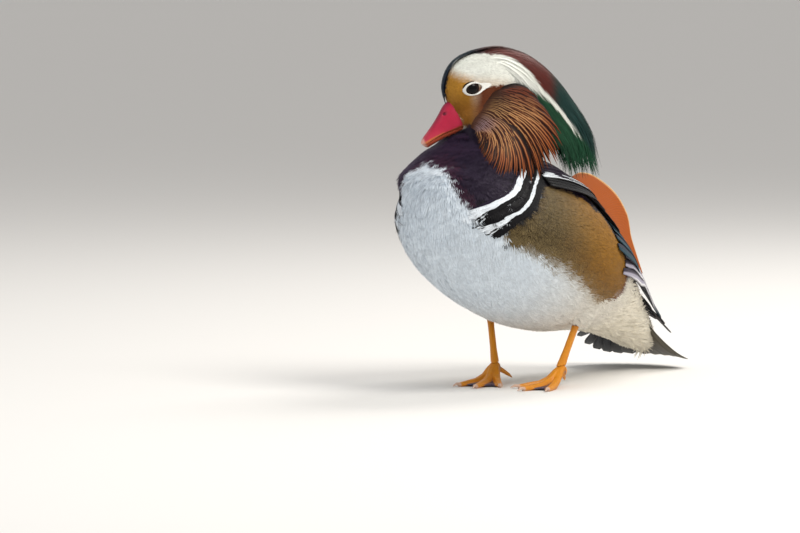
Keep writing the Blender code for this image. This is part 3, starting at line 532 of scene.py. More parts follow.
# %% Markings of the trunk
# Height of the dark neck's lower border, by distance to the left of the middle
BREAST_LINE = [
    (-0.045, 0.100), (-0.036, 0.103), (-0.032, 0.118), (-0.0305, 0.126), (-0.027, 0.131), (-0.024, 0.138),
    (-0.017, 0.1415), (-0.013, 0.143), (-0.006, 0.142), (0.001, 0.140), (0.007, 0.137), (0.011, 0.133),
    (0.015, 0.128), (0.0175, 0.1245), (0.022, 0.1215), (0.025, 0.118), (0.027, 0.1125), (0.032, 0.1065),
    (0.035, 0.1035), (0.045, 0.100),
]
# The other lines pair a distance behind the feet with a turn from the spine
FIRST_BAR = [
    (30, -0.045), (47, -0.0611), (56, -0.0682), (65, -0.0769), (71, -0.0845), (77, -0.0911), (83, -0.0961),
    (88, -0.0996), (92, -0.1010), (110, -0.1060),
]
SECOND_BAR = [
    (30, -0.030), (42, -0.041), (52, -0.0513), (63, -0.0607), (73, -0.0696), (80, -0.0770), (86, -0.0840),
    (92, -0.0882), (97, -0.0917), (103, -0.0944), (112, -0.0980),
]
DARK_LIMIT = [
    (-0.11, 120), (-0.085, 110), (-0.05, 84), (-0.02, 64), (0.02, 80), (0.036, 98), (0.055, 98), (0.075, 92),
    (0.09, 86), (0.112, 80), (0.133, 60),
]
FLANK_TOP = [(-0.060, 50), (-0.020, 50), (0.004, 55), (0.021, 68), (0.029, 84), (0.036, 92)]
FLANK_REAR = [
    (60, 0.012), (68, 0.0215), (84, 0.029), (90, 0.035), (100, 0.0363), (112, 0.0360), (121, 0.0275),
    (130, 0.012),
]
FLANK_LOW = [
    (-0.095, 99), (-0.081, 103), (-0.062, 106), (-0.039, 109), (-0.014, 116), (0.012, 125), (0.036, 128),
]


def trunk_markings(points):
    """Colours on the trunk and neck, and how strongly the fine wavy lines show there."""
    y, turn = trunk_place(points)
    a, z = np.abs(turn), points[:, 2]
    border, first, second = curve(BREAST_LINE, points[:, 0]), curve(FIRST_BAR, a), curve(SECOND_BAR, a)
    behind, low = y - curve(FLANK_REAR, a), curve(FLANK_LOW, y) - a
    dark = rise(-0.0006, 0.0006, z - np.where(y < -0.085, border, 0)) * rise(2, -2, a - curve(DARK_LIMIT, y))
    dark = np.maximum(dark, rise(0.1475, 0.1500, z))
    shade = layered(
        PLUM,
        (MAROON, 0.8 * rise(0.009, 0.001, z - border) * rise(-0.080, -0.088, y)),
        (BLACK, rise(first - 0.009, first - 0.004, y) * rise(0.156, 0.140, z)),
        (MANTLE, rise(-0.035, -0.015, y) * rise(46, 36, a)),
        (RUMP_DARK, rise(0.0, 0.02, y)),
    )
    bars = rise(0.0024, 0.0014, np.abs(y - first)) * rise(99, 94, a) * rise(38, 44, a)
    bars = np.maximum(bars, rise(0.0016, 0.0008, np.abs(y - second)) * rise(106, 101, a) * rise(34, 40, a))
    flank = rise(second + 0.0068, second + 0.0078, y) * rise(-0.6, 0.6, a - curve(FLANK_TOP, y))
    flank = flank * rise(0.0003, -0.0003, behind) * rise(-7, 5, low)
    ochre, straw = rise(-0.055, 0.018, y + 0.0004 * (a - 75)), 0.55 * rise(16, -4, low)
    side = layered(OLIVE, (OCHRE, ochre), (STRAW, straw))
    patch = rise(-0.0004, 0.0004, behind) * rise(0.0085, 0.0020, behind) * rise(92, 97, a) * rise(127, 118, a)
    colour = layered(
        SHADED_CHEST_WHITE, (SHADED_BELLY_WHITE, rise(-0.07, 0.02, y)), (CREAM, rise(0.03, 0.07, y)), (shade, dark), (side, flank),
        (STRIPE, bars), (RUFOUS, patch),
    )
    return colour, flank * np.clip(0.20 + 0.90 * rise(34, 2, low) + 0.7 * rise(-0.01, -0.065, y), 0, 1)


print("trunk markings for", len(FLANK_TOP) + len(FLANK_LOW), "flank knots")

# %% Markings of the head
# Where the bill meets the feathers, the pale band's edges and the top of the golden face: all of them
# height against place along the profile in millimetres, but the bill's line the other way about
BILL_LINE = [(-24.0, 2.0), (-20.8, -0.4), (-16.5, -2.5), (-12.3, -6.7), (-8.9, -11.6), (-7.0, -14.0)]
BAND_TOP = [
    (-11.6, -12.0), (-11.35, -1.0), (-11.2, 4.0), (-10.4, 10.6), (-8.3, 16.5), (-4.9, 20.8), (0.2, 23.3),
    (10.4, 24.8), (20.6, 24.3), (29.1, 22.7), (34.9, 19.1), (40.1, 14.8), (45.1, 8.9), (49.4, 3.0),
    (53.6, -1.3), (57.9, -6.0), (62.9, -12.0), (67.2, -18.0), (70.6, -23.0), (74.8, -28.6), (90.0, -48.6),
]
BAND_LOW = [
    (-12.0, 3.6), (10.8, 3.8), (20.6, 4.7), (30.8, 5.1), (37.5, 3.8), (43.4, 0.8), (47.7, -0.9), (51.9, -3.8),
    (56.1, -7.8), (60.4, -12.9), (64.7, -18.4), (68.9, -23.7), (74.8, -28.6), (90.0, -48.6),
]
GOLD_TOP = [(-14.0, 15.0), (-9.9, 12.5), (-1.5, 8.7), (7.0, 7.2), (20.0, 6.6), (32.0, 5.7)]
GOLD_SHARE = [(-14.0, 1.0), (2.0, 1.0), (8.0, 0.5), (24.0, 0.35), (32.0, 0.0)]
# Where the viewer's axis passes the head's middle, and how much nearer than the feet that middle is
AXIS_OFF, HEAD_NEARER = (40.7, 109.9), 48


def profile_place(points):
    """Millimetres along and up the profile, alike for both sides.

    The profile is the one that a viewer three metres off sees from a little in front of the head.
    """
    left, back, up = head_place(points).T * 1000
    side = np.abs(left)
    along, level = 0.94 * back + 0.342 * side, 0.998 * up + 0.024 * back - 0.066 * side
    nearer = 1 / (1 - (HEAD_NEARER - 0.341 * back + 0.937 * side) / (1000 * VIEW_DISTANCE))
    return (along + AXIS_OFF[0]) * nearer - AXIS_OFF[0], (level + AXIS_OFF[1]) * nearer - AXIS_OFF[1]


def head_markings(points):
    """Colours over the head and the crest."""
    along, up = profile_place(points)
    under_band = rise(0.3, -0.3, up - curve(BAND_LOW, along))
    crown = layered(NAVY, (CROWN, rise(4.0, 17.0, along)), (TEAL, rise(53.5, 60.0, along)))
    rim = rise(1.3, 0.7, np.abs(along - curve(BILL_LINE, up) - 0.2))
    rim = rim * rise(-19.0, -17.0, up) * rise(-7.0, -9.0, up)
    spot = rise(-20.6, -21.2, up) * rise(-23.8, -23.2, up) * rise(-4.4, -3.6, along) * rise(1.0, 0.2, along)
    return layered(
        FACE,
        (GOLD, rise(6.5, -3.5, up - curve(GOLD_TOP, along)) * curve(GOLD_SHARE, along)),
        (AMBER, 0.9 * rise(5.0, -11.0, up) * rise(26.0, 12.0, along)),
        (CHEEK, under_band * rise(4.0, 12.0, along)),
        (GREEN, under_band * rise(31.0, 35.0, along)),
        (crown, rise(-0.3, 0.3, up - curve(BAND_TOP, along))),
        (PLUM, rise(-19.8, -21.2, up) * rise(32.0, 28.0, along)),
        (CHIN, 0.55 * rim),
        (CHIN, spot),
    )


def markings(points):
    """Colours everywhere on the skin, and the strength of the wavy lines."""
    body, waves = trunk_markings(points)
    head = rise(-0.0275, -0.0255, head_place(points)[:, 2])
    return mix(body, head_markings(points), head), waves * (1 - head)


print("head markings for", len(BAND_TOP) + len(BAND_LOW), "band knots")

# %% [markdown]
# ## What feathers are made of
# A barb is a thin flat thread, so light streaks along it and the colour flickers a little from thread to
# thread. The material reads two attributes that each piece carries: `tint`, the marking's colour with the
# strength of the wavy lines in its alpha, and `barb`, which tells where on its own feather a point lies.
# Two node groups hold what all plumage shares, so that each finish below only sets its own values.

# %% Group: the threads of a feather
def barb_group():
    """Splits a feather's face into slanting threads, and gives their colour and height."""
    ins = [("Color", "Colour", (1, 1, 1, 1)), ("Float", "Threads", 60.0), ("Float", "Slant", 0.6),
           ("Float", "Depth", 0.3)]
    group, given, result = new_group("barbs", ins, [("Color", "Colour"), ("Float", "Height")])
    place = add_node(group, "SeparateColor", {"Color": attribute(group, "barb")["Color"]}).outputs
    aside = maths(group, "ABSOLUTE", maths(group, "SUBTRACT", place[0], 0.5))
    slanted = maths(group, "SUBTRACT", place[1], maths(group, "MULTIPLY", aside, given["Slant"]))
    wobble = add_node(group, "TexNoise", {"Scale": 900.0, "Vector": object_place(group)}).outputs["Fac"]
    phase = maths(group, "MULTIPLY", slanted, given["Threads"])
    phase = maths(group, "ADD", phase, maths(group, "MULTIPLY", wobble, 2.4))
    thread = maths(group, "ADD", maths(group, "MULTIPLY", maths(group, "SINE", phase), 0.5), 0.5)
    dark = blend_colour(group, 1.0, given["Colour"], (0.62, 0.62, 0.62), "MULTIPLY")
    share = maths(group, "MULTIPLY", maths(group, "SUBTRACT", 1.0, thread), given["Depth"])
    feed(group, result["Colour"], blend_colour(group, share, given["Colour"], dark))
    feed(group, result["Height"], thread)
    return group


BARBS = barb_group()
print("group:", BARBS.name)

# %% Group: fine wavy lines
WAVE = {"Scale": 330.0, "Distortion": 7.0, "Detail": 2.0, "Detail Scale": 1.8, "Detail Roughness": 0.6}


def wave_group():
    """Fine dark wavy lines across the flank, of the kind that a penman would draw."""
    ins = [("Color", "Colour", (1, 1, 1, 1)), ("Float", "Strength", 1.0)]
    group, given, result = new_group("fine_waves", ins, [("Color", "Colour")])
    turned = {"Rotation": (math.radians(24), 0.0, 0.0), "Vector": object_place(group)}
    where = add_node(group, "Mapping", turned).outputs["Vector"]
    wave = add_node(group, "TexWave", {**WAVE, "Vector": where}, wave_type="BANDS", bands_direction="Y")
    line = maths(group, "MULTIPLY", maths(group, "POWER", wave.outputs["Fac"], 1.6), given["Strength"])
    dark = blend_colour(group, 1.0, given["Colour"], (0.16, 0.13, 0.10), "MULTIPLY")
    feed(group, result["Colour"], blend_colour(group, line, given["Colour"], dark))
    return group


WAVES = wave_group()
print("group:", WAVES.name)


# %% Plumage finishes
def plumage(name, threads=18.0, slant=0.8, depth=0.35, roughness=0.62, sheen=0.1, sheen_colour=(1, 1, 1),
            specular=0.2, flicker=0.22):
    """A plumage material; flicker is how much one feather differs in brightness from the next."""
    material, tree, shader = new_material(name, {
        "Roughness": roughness, "Specular IOR Level": specular,
        "Sheen Weight": sheen, "Sheen Roughness": 0.45, "Sheen Tint": sheen_colour,
    })
    paint, place = attribute(tree, "tint"), attribute(tree, "barb")
    lines = {"Colour": paint["Color"], "Strength": paint["Alpha"]}
    waved = add_node(tree, "Group", lines, node_tree=WAVES).outputs["Colour"]
    values = {"Colour": waved, "Threads": threads, "Slant": slant, "Depth": depth}
    barbs = add_node(tree, "Group", values, node_tree=BARBS).outputs
    own = add_node(tree, "SeparateColor", {"Color": place["Color"]}).outputs[2]
    level = maths(tree, "ADD", maths(tree, "MULTIPLY", own, flicker), 1.0 - flicker / 2)
    bright = add_node(tree, "HueSaturation", {"Value": level, "Color": barbs["Colour"]})
    feed(tree, shader.inputs["Base Color"], bright.outputs["Color"])
    bumped(tree, shader, barbs["Height"], 0.25, 0.0002)
    return material


SOFT_COAT = plumage("soft_coat")
BAR_PLUME = plumage("bar_plume", sheen=0.02, specular=0.12)
NECK_GLOSS = plumage("glossy_neck", roughness=0.55, sheen=0.08, sheen_colour=(0.7, 0.4, 0.95), specular=0.16)
CREST_GLOSS = plumage(
    "crest_gloss", threads=6.0, roughness=0.48, sheen=0.06, sheen_colour=(0.4, 0.9, 0.7), specular=0.22)
HACKLE = plumage("ruff_hackle", threads=40.0, slant=1.4, depth=0.30, roughness=0.52, sheen=0.0, specular=0.18)
VANE = plumage(
    "flight_vane", threads=260.0, slant=0.9, roughness=0.5, sheen=0.02, specular=0.18, flicker=0.10)
SAIL_VANE = plumage(
    "sail_vane", threads=340.0, slant=0.25, depth=0.28, roughness=0.5, sheen=0.05, specular=0.25, flicker=0.0)
FINISHES = (SOFT_COAT, BAR_PLUME, NECK_GLOSS, CREST_GLOSS, HACKLE, VANE, SAIL_VANE)
print("finishes:", ", ".join(finish.name for finish in FINISHES))

# %% [markdown]
# ## The skin's own colour
# Between the feathers a little skin shows, so it wears the same markings, painted darker as painted shade
# under the coat. They are stored on its points.
# Under the bill the skin is drawn in, so that horn and feathers meet in a clean line.

# %% Paint the skin
SKIN_PAINTED_SHADE, BILL_DRAW = 0.85, 0.55


def set_colours(mesh, name, values):
    """Stores an (n, 4) array as a colour attribute on the mesh's points."""
    layer = mesh.color_attributes.new(name=name, type="FLOAT_COLOR", domain="POINT")
    layer.data.foreach_set("color", np.ascontiguousarray(values, dtype=np.float32).ravel())


def plain(colour):
    """Colours with no wavy lines, which is 0 in their fourth value."""
    return np.concatenate([colour, np.zeros((*colour.shape[:-1], 1))], axis=-1)


def dress(made, paint, finish, slot, *replaces, barbs=True):
    """Gives a smooth piece its colours, finish and body, and hides the solids that it replaces."""
    set_colours(made.data, "tint", paint)
    if barbs:
        set_colours(made.data, "barb", np.full((len(paint), 4), 0.5))
    made.data.shade_smooth()
    made.data.materials.append(finish)
    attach(made, "root")
    if replaces:
        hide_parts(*replaces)
    return made


def before_bill_line(points, margin):
    """How far places lie on the bill's side of the line where it meets the feathers, from 0 to 1."""
    along, up = profile_place(points)
    before = rise(margin + 0.4, margin - 0.4, along - curve(BILL_LINE, up))
    return before * rise(-6.8, -7.6, up) * rise(-27.0, -25.5, up)


points, _ = vertex_arrays(skin.data)
local = head_place(points)
local[:, 0] *= 1 - BILL_DRAW * before_bill_line(points, 0.4)
points = from_head(local)
move_points(skin, points)
colour, waves = markings(points)
# The skin's colours are darkened here: painted shade under the coat of feathers
paint = np.column_stack([colour * SKIN_PAINTED_SHADE, waves])
dress(skin, paint, SOFT_COAT, "breast_and_belly", "torso", "neck", "head")
print("skin painted on", len(skin.data.vertices), "points")

# %% [markdown]
# ## Ribbons
# Every feather, thread and lock below is a ribbon: a row of places, the way that its width runs, and how
# wide it is there. Thousands of them go straight into one mesh as arrays, which is far quicker than
# thousands of objects. Each ribbon also gets a small patch of its own on the bake map `OFBake`, at the
# place where it is rooted on an unwrap of the skin.

# %% Ribbon meshes
PIECE_LIMIT, BAKE_PATCH = 180000, 0.003


def bake_place(points):
    """Where a place on the skin lies on its unwrap: the trunk below, the head in a strip above."""
    y, turn = trunk_place(points)
    along = (y - TRUNK_FRONT) / TRUNK_LENGTH
    body = np.stack([0.02 + 0.96 * (turn + 180) / 360, 0.02 + 0.60 * np.clip(along, 0, 1)], axis=1)
    left, back, up = (head_place(points) - np.array([0, 0.012, -0.004])).T
    level = np.arctan2(up, np.hypot(left, back)) / math.pi + 0.5
    head = np.stack([0.02 + 0.96 * (np.arctan2(left, back) / math.tau + 0.5), 0.66 + 0.32 * level], axis=1)
    return np.where((head_place(points)[:, 2] > -0.0265)[:, None], head, body)


def width_way(points, facing):
    """The way that a ribbon's width runs, from its path and the way that it faces."""
    return unit(np.cross(unit(np.gradient(points, axis=-2)), facing))


def ribbons(name, points, sides, halves, colours, finish, slot, columns=2, camber=0.0, replaces=()):
    """Makes one or more pieces from n ribbons of k rows each, and returns them."""
    count, rows = halves.shape
    chunk = max(1, PIECE_LIMIT // ((rows - 1) * (columns - 1) * 2))
    pieces = []
    for number, start in enumerate(range(0, count, chunk)):
        label = name if count <= chunk else "%s_%d" % (name, number + 1)
        arrays = (values[start:start + chunk] for values in (points, sides, halves, colours))
        pieces.append(ribbon_piece(label, *arrays, columns, camber))
        pieces[-1].data.materials.append(finish)
        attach(pieces[-1], "root")
    if replaces:
        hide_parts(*replaces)
    return pieces


def ribbon_piece(name, points, sides, halves, colours, columns, camber):
    count, rows = halves.shape
    across = np.linspace(-1, 1, columns)
    places = points[:, :, None, :] + sides[:, :, None, :] * (halves[:, :, None] * across)[..., None]
    if camber:
        crown = np.cross(sides, unit(np.gradient(points, axis=1)))
        places += crown[:, :, None, :] * (camber * halves[:, :, None] * (1 - across ** 2))[..., None]
    if colours.ndim == 3:
        colours = np.repeat(colours[:, :, None, :], columns, axis=2)
    grid = np.arange(count * rows * columns, dtype=np.int32).reshape(count, rows, columns)
    corners = [grid[:, :-1, :-1], grid[:, :-1, 1:], grid[:, 1:, 1:], grid[:, 1:, :-1]]
    quads = np.stack(corners, axis=-1).reshape(-1)
    mesh = bpy.data.meshes.new(name)
    mesh.vertices.add(grid.size)
    mesh.vertices.foreach_set("co", places.reshape(-1))
    mesh.loops.add(len(quads))
    mesh.loops.foreach_set("vertex_index", quads)
    mesh.polygons.add(len(quads) // 4)
    mesh.polygons.foreach_set("loop_start", np.arange(0, len(quads), 4, dtype=np.int32))
    mesh.update(calc_edges=True)
    own = np.random.default_rng(count).random(count)[:, None, None]
    along = np.linspace(0, 1, rows)[None, :, None]
    aside, along, own = (np.broadcast_to(values, grid.shape) for values in ((across + 1) / 2, along, own))
    set_colours(mesh, "tint", colours.reshape(-1, 4))
    set_colours(mesh, "barb", np.stack([aside, along, own, np.ones(grid.shape)], axis=-1).reshape(-1, 4))
    root = bake_place(points[:, 0])[:, None, None, :]
    spot = root + np.stack([(aside - 0.5) * BAKE_PATCH, along * BAKE_PATCH], axis=-1)
    layer = mesh.uv_layers.new(name="OFBake")
    layer.data.foreach_set("uv", spot.reshape(-1, 2)[quads].astype(np.float32).reshape(-1))
    mesh.shade_smooth()
    return scene_object(name, mesh)


def thicken(piece, thickness, offset=0.0):
    wall = piece.modifiers.new("thickness", "SOLIDIFY")
    wall.thickness, wall.offset = thickness, offset


print("ribbons of at most", PIECE_LIMIT, "triangles a piece")

# %% [markdown]
# ## Where the small feathers grow
# Points are scattered over the skin by area and thinned so that no two share a small cube. A direction
# field says how the coat is combed: back over the head, down the neck and breast, and back along the body.

# %% Scatter and comb
OVERSAMPLE = 2.6


def scatter(spacing, chance):
    """Well spread places on the skin, with their normals."""
    mesh = skin.data
    mesh.calc_loop_triangles()
    corners = np.empty(len(mesh.loop_triangles) * 3, dtype=np.int32)
    mesh.loop_triangles.foreach_get("vertices", corners)
    corners = corners.reshape(-1, 3)
    points, normals = vertex_arrays(mesh)
    a, b, c = (points[corners[:, k]] for k in range(3))
    areas = np.linalg.norm(np.cross(b - a, c - a), axis=1) / 2
    total = int(areas.sum() / spacing ** 2 * OVERSAMPLE)
    picks = chance.choice(len(areas), size=total, p=areas / areas.sum())
    u, v = chance.random(total), chance.random(total)
    fold = u + v > 1
    u, v = np.where(fold, 1 - u, u), np.where(fold, 1 - v, v)
    weights = np.stack([1 - u - v, u, v], axis=1)[:, :, None]
    places, ways = ((values[corners[picks]] * weights).sum(axis=1) for values in (points, normals))
    cells = np.floor(places / spacing).astype(np.int64)
    keys = cells[:, 0] * 73856093 ^ cells[:, 1] * 19349663 ^ cells[:, 2] * 83492791
    _, first = np.unique(keys, return_index=True)
    return places[first], unit(ways)[first]


def combed(points, normals):
    """The way that the coat lies, in the skin's plane."""
    y, _ = trunk_place(points)
    front = rise(-0.040, -0.092, y)[:, None]
    way = np.array([0.0, 1.0, -0.30]) * (1 - front) + np.array([0.0, 0.22, -1.0]) * front
    collar = rise(0.138, 0.150, points[:, 2])[:, None]
    way = way * (1 - collar) + np.array([0.0, 0.15, -1.0]) * collar
    _, back, up = head_place(points).T
    head = rise(-0.030, -0.022, up)[:, None]
    lifted = -0.35 + 0.9 * rise(0.0, 0.012, up) * rise(0.010, -0.010, back)
    local = np.stack([np.zeros_like(back), np.ones_like(back), lifted], axis=1)
    way = way * (1 - head) + (local @ HEAD_OUT[:3, :3].T) * head
    return unit(way - normals * (way * normals).sum(axis=1, keepdims=True))


print("skin area %.0f square cm" % (sum(p.area for p in skin.data.polygons) * 1e4))


# %% Tufts
def tufts(name, spacing, seed, keep, length, half, barbs, spread, lift, finish, slot, jitter=0.0010):
    """Small feathers over part of the skin, each of them a fan of barbs."""
    chance = np.random.default_rng(seed)
    roots, normals = scatter(spacing, np.random.default_rng(seed))
    chosen = keep(roots)
    roots, normals = roots[chosen], normals[chosen]
    ways = combed(roots, normals)
    count = len(roots)
    yaw = chance.normal(0, 0.10, count)[:, None]
    ways = ways * np.cos(yaw) + np.cross(ways, normals) * np.sin(yaw)
    aside = np.cross(ways, normals)
    reach = length * chance.uniform(0.82, 1.18, count)
    colour, waves = markings(roots + ways * reach[:, None] * 0.55 + chance.normal(0, jitter, (count, 3)))
    fan = np.linspace(-1, 1, barbs)
    angle = (fan[None, :] * spread + chance.normal(0, 0.06, (count, barbs)))[..., None]
    lines = ways[:, None, :] * np.cos(angle) + aside[:, None, :] * np.sin(angle)
    t = np.array([0.0, 0.5, 1.0])
    size = (reach[:, None] * (1 - 0.12 * fan[None, :] ** 2))[:, :, None, None]
    height = (lift * np.sin(t * 1.35))[None, None, :, None] * chance.uniform(0.6, 1.4, (count, 1, 1, 1))
    start = roots[:, None, None, :] + aside[:, None, None, :] * (fan * half * 0.9)[None, :, None, None]
    points = start + lines[:, :, None, :] * size * t[None, None, :, None]
    points = points + normals[:, None, None, :] * (height * size - 0.0001)
    sides = np.cross(lines, normals[:, None, :])[:, :, None, :] * np.ones((1, 1, 3, 1))
    halves = np.broadcast_to(half * np.array([0.7, 1.0, 0.12]), (count, barbs, 3))
    # Each barb is painted darker at its root and a little brighter at its tip: painted shade under the
    # feathers before it, and a faint painted highlight at the tip
    shade = np.array([0.80, 1.0, 1.06])[None, None, :, None]
    paint = np.clip(colour[:, None, None, :] * shade, 0, 1) * np.ones((1, barbs, 1, 1))
    waves = np.broadcast_to(waves[:, None, None, None], (count, barbs, 3, 1))
    paint = np.concatenate([paint, waves], axis=-1)
    flat = (count * barbs, 3)
    ribbons(name, points.reshape(*flat, 3), sides.reshape(*flat, 3), halves.reshape(flat),
            paint.reshape(*flat, 4), finish, slot)
    print(name, count, "tufts,", count * barbs * 4, "triangles")


# %% The coats of body, rump, neck and face
# Where the wing covers the body: turn from the spine by distance behind the feet
WING_LOW = [
    (-0.012, 20), (0.004, 29), (0.020, 50), (0.034, 97), (0.055, 97), (0.075, 91), (0.09, 85), (0.112, 79),
    (0.126, 60),
]
RUMP_FROM = 0.05


def in_almond(back, up, grow):
    """How far places lie out from the eye's middle, with 1 at its opening's edge grown by some."""
    c, s = math.cos(EYE_TILT), math.sin(EYE_TILT)
    long, high = (size + more for size, more in zip(EYE_OPENING, grow))
    return np.hypot((back * c + up * s) / long, (up * c - back * s) / high)


def is_head(points):
    return head_place(points)[:, 2] > -0.0255


def is_neck(points):
    colour, _ = trunk_markings(points)
    return ~is_head(points) & (colour.sum(axis=1) < 0.28) & (trunk_place(points)[0] < 0.01)


def is_body(points):
    y, turn = trunk_place(points)
    a = np.abs(turn)
    behind_flank = y > curve(FLANK_REAR, a) + 0.0005
    under_wing = (y > 0.0) & (a < curve(WING_LOW, y)) & (a > 9) & (behind_flank | (a < 45))
    return ~is_head(points) & ~is_neck(points) & ~under_wing


def is_face(points):
    _, back, up = head_place(points).T
    near_eye = in_almond(back + 0.0006, up - EYE_PLACE[2], (0.0011, 0.0008)) < 1
    return is_head(points) & ~near_eye & (before_bill_line(points, 0.6) < 0.5)


tufts("body_coat", 0.0019, 1, lambda p: is_body(p) & (trunk_place(p)[0] < RUMP_FROM), 0.0080, 0.00050, 5,
      0.30, 0.10, SOFT_COAT, "breast_and_belly")
tufts("rump_coat", 0.0021, 2, lambda p: is_body(p) & (trunk_place(p)[0] >= RUMP_FROM), 0.0120, 0.00055, 5,
      0.26, 0.09, SOFT_COAT, "breast_and_belly")
tufts("neck_coat", 0.0015, 3, is_neck, 0.0062, 0.00032, 5, 0.26, 0.12, NECK_GLOSS, "maroon_neck", 0.0014)
tufts("face_coat", 0.0009, 4, is_face, 0.0030, 0.00020, 3, 0.22, 0.10, SOFT_COAT, "pale_face", 0.0003)

# %% Plumes of the two white bars
# Bar, first and last offset, half width of the white, last turn
BAR_GROUPS = [(FIRST_BAR, -0.0044, 0.0060, 0.0027, 97.0), (SECOND_BAR, -0.0034, 0.0066, 0.0015, 105.0)]
BAR_PLUMES, PLUME_ROWS, FRONT_CLEAR, BAR_FRONT, RAY_START = 620, 7, 0.0245, -0.1030, 0.12
PLUME_HALVES = 0.00052 * np.array([0.5, 0.9, 1.0, 1.0, 0.9, 0.6, 0.08])


def over_surface(tree, side, y, degrees, lift):
    """A point over the trunk and the surface's normal, at a turn from the spine towards one side."""
    turn = math.radians(degrees)
    out = Vector((side * math.sin(turn), 0, math.cos(turn)))
    middle = Vector((0, y + STAND.y, float(trunk_middle(y))))
    hit, normal, _, _ = tree.ray_cast(middle + out * RAY_START, -out)
    if hit is None:
        hit, normal = middle, out
    return hit + normal * lift, normal


def bar_plumes(name, side, seed):
    chance = np.random.default_rng(seed)
    t = np.linspace(0, 1, PLUME_ROWS)
    paths, aways, colours = [], [], []
    for knots, first, last, white, end in BAR_GROUPS:
        for _ in range(BAR_PLUMES):
            spans = (first, last), (28, end - 7), (11, 16)
            offset, begin, length = (chance.uniform(*span) for span in spans)
            turns = np.minimum(begin + length * t, end + chance.uniform(-2, 4) + 0.5 * t)
            ys = np.maximum(curve(knots, turns) + offset, BAR_FRONT)
            laid = [over_surface(skin_tree, side, y, a, 0.0010 + 0.0005 * k) for y, a, k in zip(ys, turns, t)]
            if min(abs(p.x) for p, _ in laid) < FRONT_CLEAR:
                continue
            paths.append([list(p) for p, _ in laid])
            aways.append([list(n) for _, n in laid])
            fray = 1.0 + 0.9 * max(0.0, (turns[-1] - end + 16) / 16)
            pale = abs(offset) < white or (abs(offset) < white * fray and chance.random() < 0.45)
            tone = STRIPE if pale else (PLUM if offset < 0 and knots is FIRST_BAR else BLACK)
            colours.append(np.tile([*(tone * chance.uniform(0.85, 1.1)), 0], (PLUME_ROWS, 1)))
    points = np.array(paths)
    halves = np.broadcast_to(PLUME_HALVES, points.shape[:2])
    ribbons(name, points, width_way(points, np.array(aways)), halves, np.clip(colours, 0, 1), BAR_PLUME,
            "breast_and_belly")


for side, word in SIDES:
    bar_plumes("bar_plumes_" + word, side, 8)
print("bars of", len(BAR_GROUPS), "stripes a side")

# %% [markdown]
# ## Wing feathers
# A folded wing shows its feathers in tiers like roof tiles. Each feather lies on the trunk between two
# places that are told by distance and by turn from the spine, and the tiers run from the coverts at the
# shoulder to the long primaries that pass the rump. Each tier has a painter that colours one feather from
# where a point lies across and along it.

# %% Laying a feather on the trunk
RUMP_END, TILE_ROLL = 0.118, math.radians(8)
ROWS, COLUMNS = 16, 9


def blade_shape(width, point=0.12, full_from=0.3):
    """Half widths from a narrow quill through the full blade to a round tip."""
    t = np.linspace(0, 1, ROWS)
    body = np.clip(0.45 + 0.55 * t / full_from, 0, 1)
    end = np.sqrt(np.clip(1 - ((t - 0.78) / 0.22) ** 2, 0, 1))
    return width / 2 * np.maximum(point * (t < 1), np.where(t < 0.78, body, end))


def tiled(path, ups, roll):
    """A feather's path and its sides, rolled a little as tiles are."""
    points = np.array([list(place) for place in path])
    ahead = unit(np.gradient(points, axis=0))
    facing = np.array([list(Matrix.Rotation(roll, 3, Vector(a)) @ up) for a, up in zip(ahead, ups)])
    return points, unit(np.cross(ahead, facing))


def laid_feather(side, root, tip, lifts):
    """Path and sides of a feather between two (distance, degrees) places on the trunk."""
    path, ups = [], []
    for t in np.linspace(0, 1, ROWS):
        spot = [a + (b - a) * t for a, b in zip(root, tip)]
        lift = lifts[0] + (lifts[1] - lifts[0]) * math.sin(t * math.pi / 2)
        if spot[0] < RUMP_END or len(path) < 2:
            point, normal = over_surface(trunk_tree, side, *spot, lift)
        else:
            point, normal = path[-1] + (path[-1] - path[-2]), ups[-1]
        path.append(point)
        ups.append(normal)
    return tiled(path, ups, -side * TILE_ROLL)


def paint_blade(painter, rows=ROWS, columns=COLUMNS):
    """One feather's colours from a function of across (-1 to 1) and along (0 to 1)."""
    along, across = np.meshgrid(np.linspace(0, 1, rows), np.linspace(-1, 1, columns), indexing="ij")
    return plain(painter(across.ravel(), along.ravel())).reshape(rows, columns, 4)


def blades(name, made, slot, camber, wall, replaces=(), finish=VANE, columns=COLUMNS):
    """One piece of single feathers, each of them a path, its sides, half widths and colours."""
    arrays = [np.array(values) for values in zip(*made)]
    for piece in ribbons(name, *arrays, finish, slot, columns, camber, replaces):
        thicken(piece, wall)
    print(name, len(made), "feathers")


print("feathers of", ROWS, "by", COLUMNS, "points")

# %% Painters for the wing
SLATE, LILAC, WHITE, BLUE_GREEN, DUSK, UMBER = tints("3a3440 a39fae e9e8ea 1c3d4a 242736 3b3029")
COVERT, COVERT_EDGE, BACK_PLUM, BACK_EDGE = tints("2c2c38 4a4440 221c2c 3d3240")


def primary(across, along):
    return layered(
        SLATE,
        (LILAC, rise(-0.05, 0.15, across) * rise(0.95, 0.75, along)),
        (WHITE, rise(0.50, 0.66, across) * rise(0.99, 0.84, along) * rise(0.05, 0.35, along)),
        (SLATE, rise(0.90, 0.97, across) * 0.7),
        (BLUE_GREEN, 0.8 * rise(0.82, 0.93, along)),
    )


def secondary(across, along):
    return layered(DUSK, (BLUE_GREEN, rise(-0.2, 0.4, across)), (WHITE, rise(0.93, 0.96, along)))


def tertial(across, along):
    return layered(
        DUSK, (BLUE_GREEN, 0.5 * rise(0.0, 0.9, across)), (UMBER, rise(0.75, 1.0, np.abs(across)) * 0.7))


def covert(across, along):
    return layered(COVERT, (COVERT_EDGE, rise(0.5, 1.0, np.abs(across)) * 0.6))


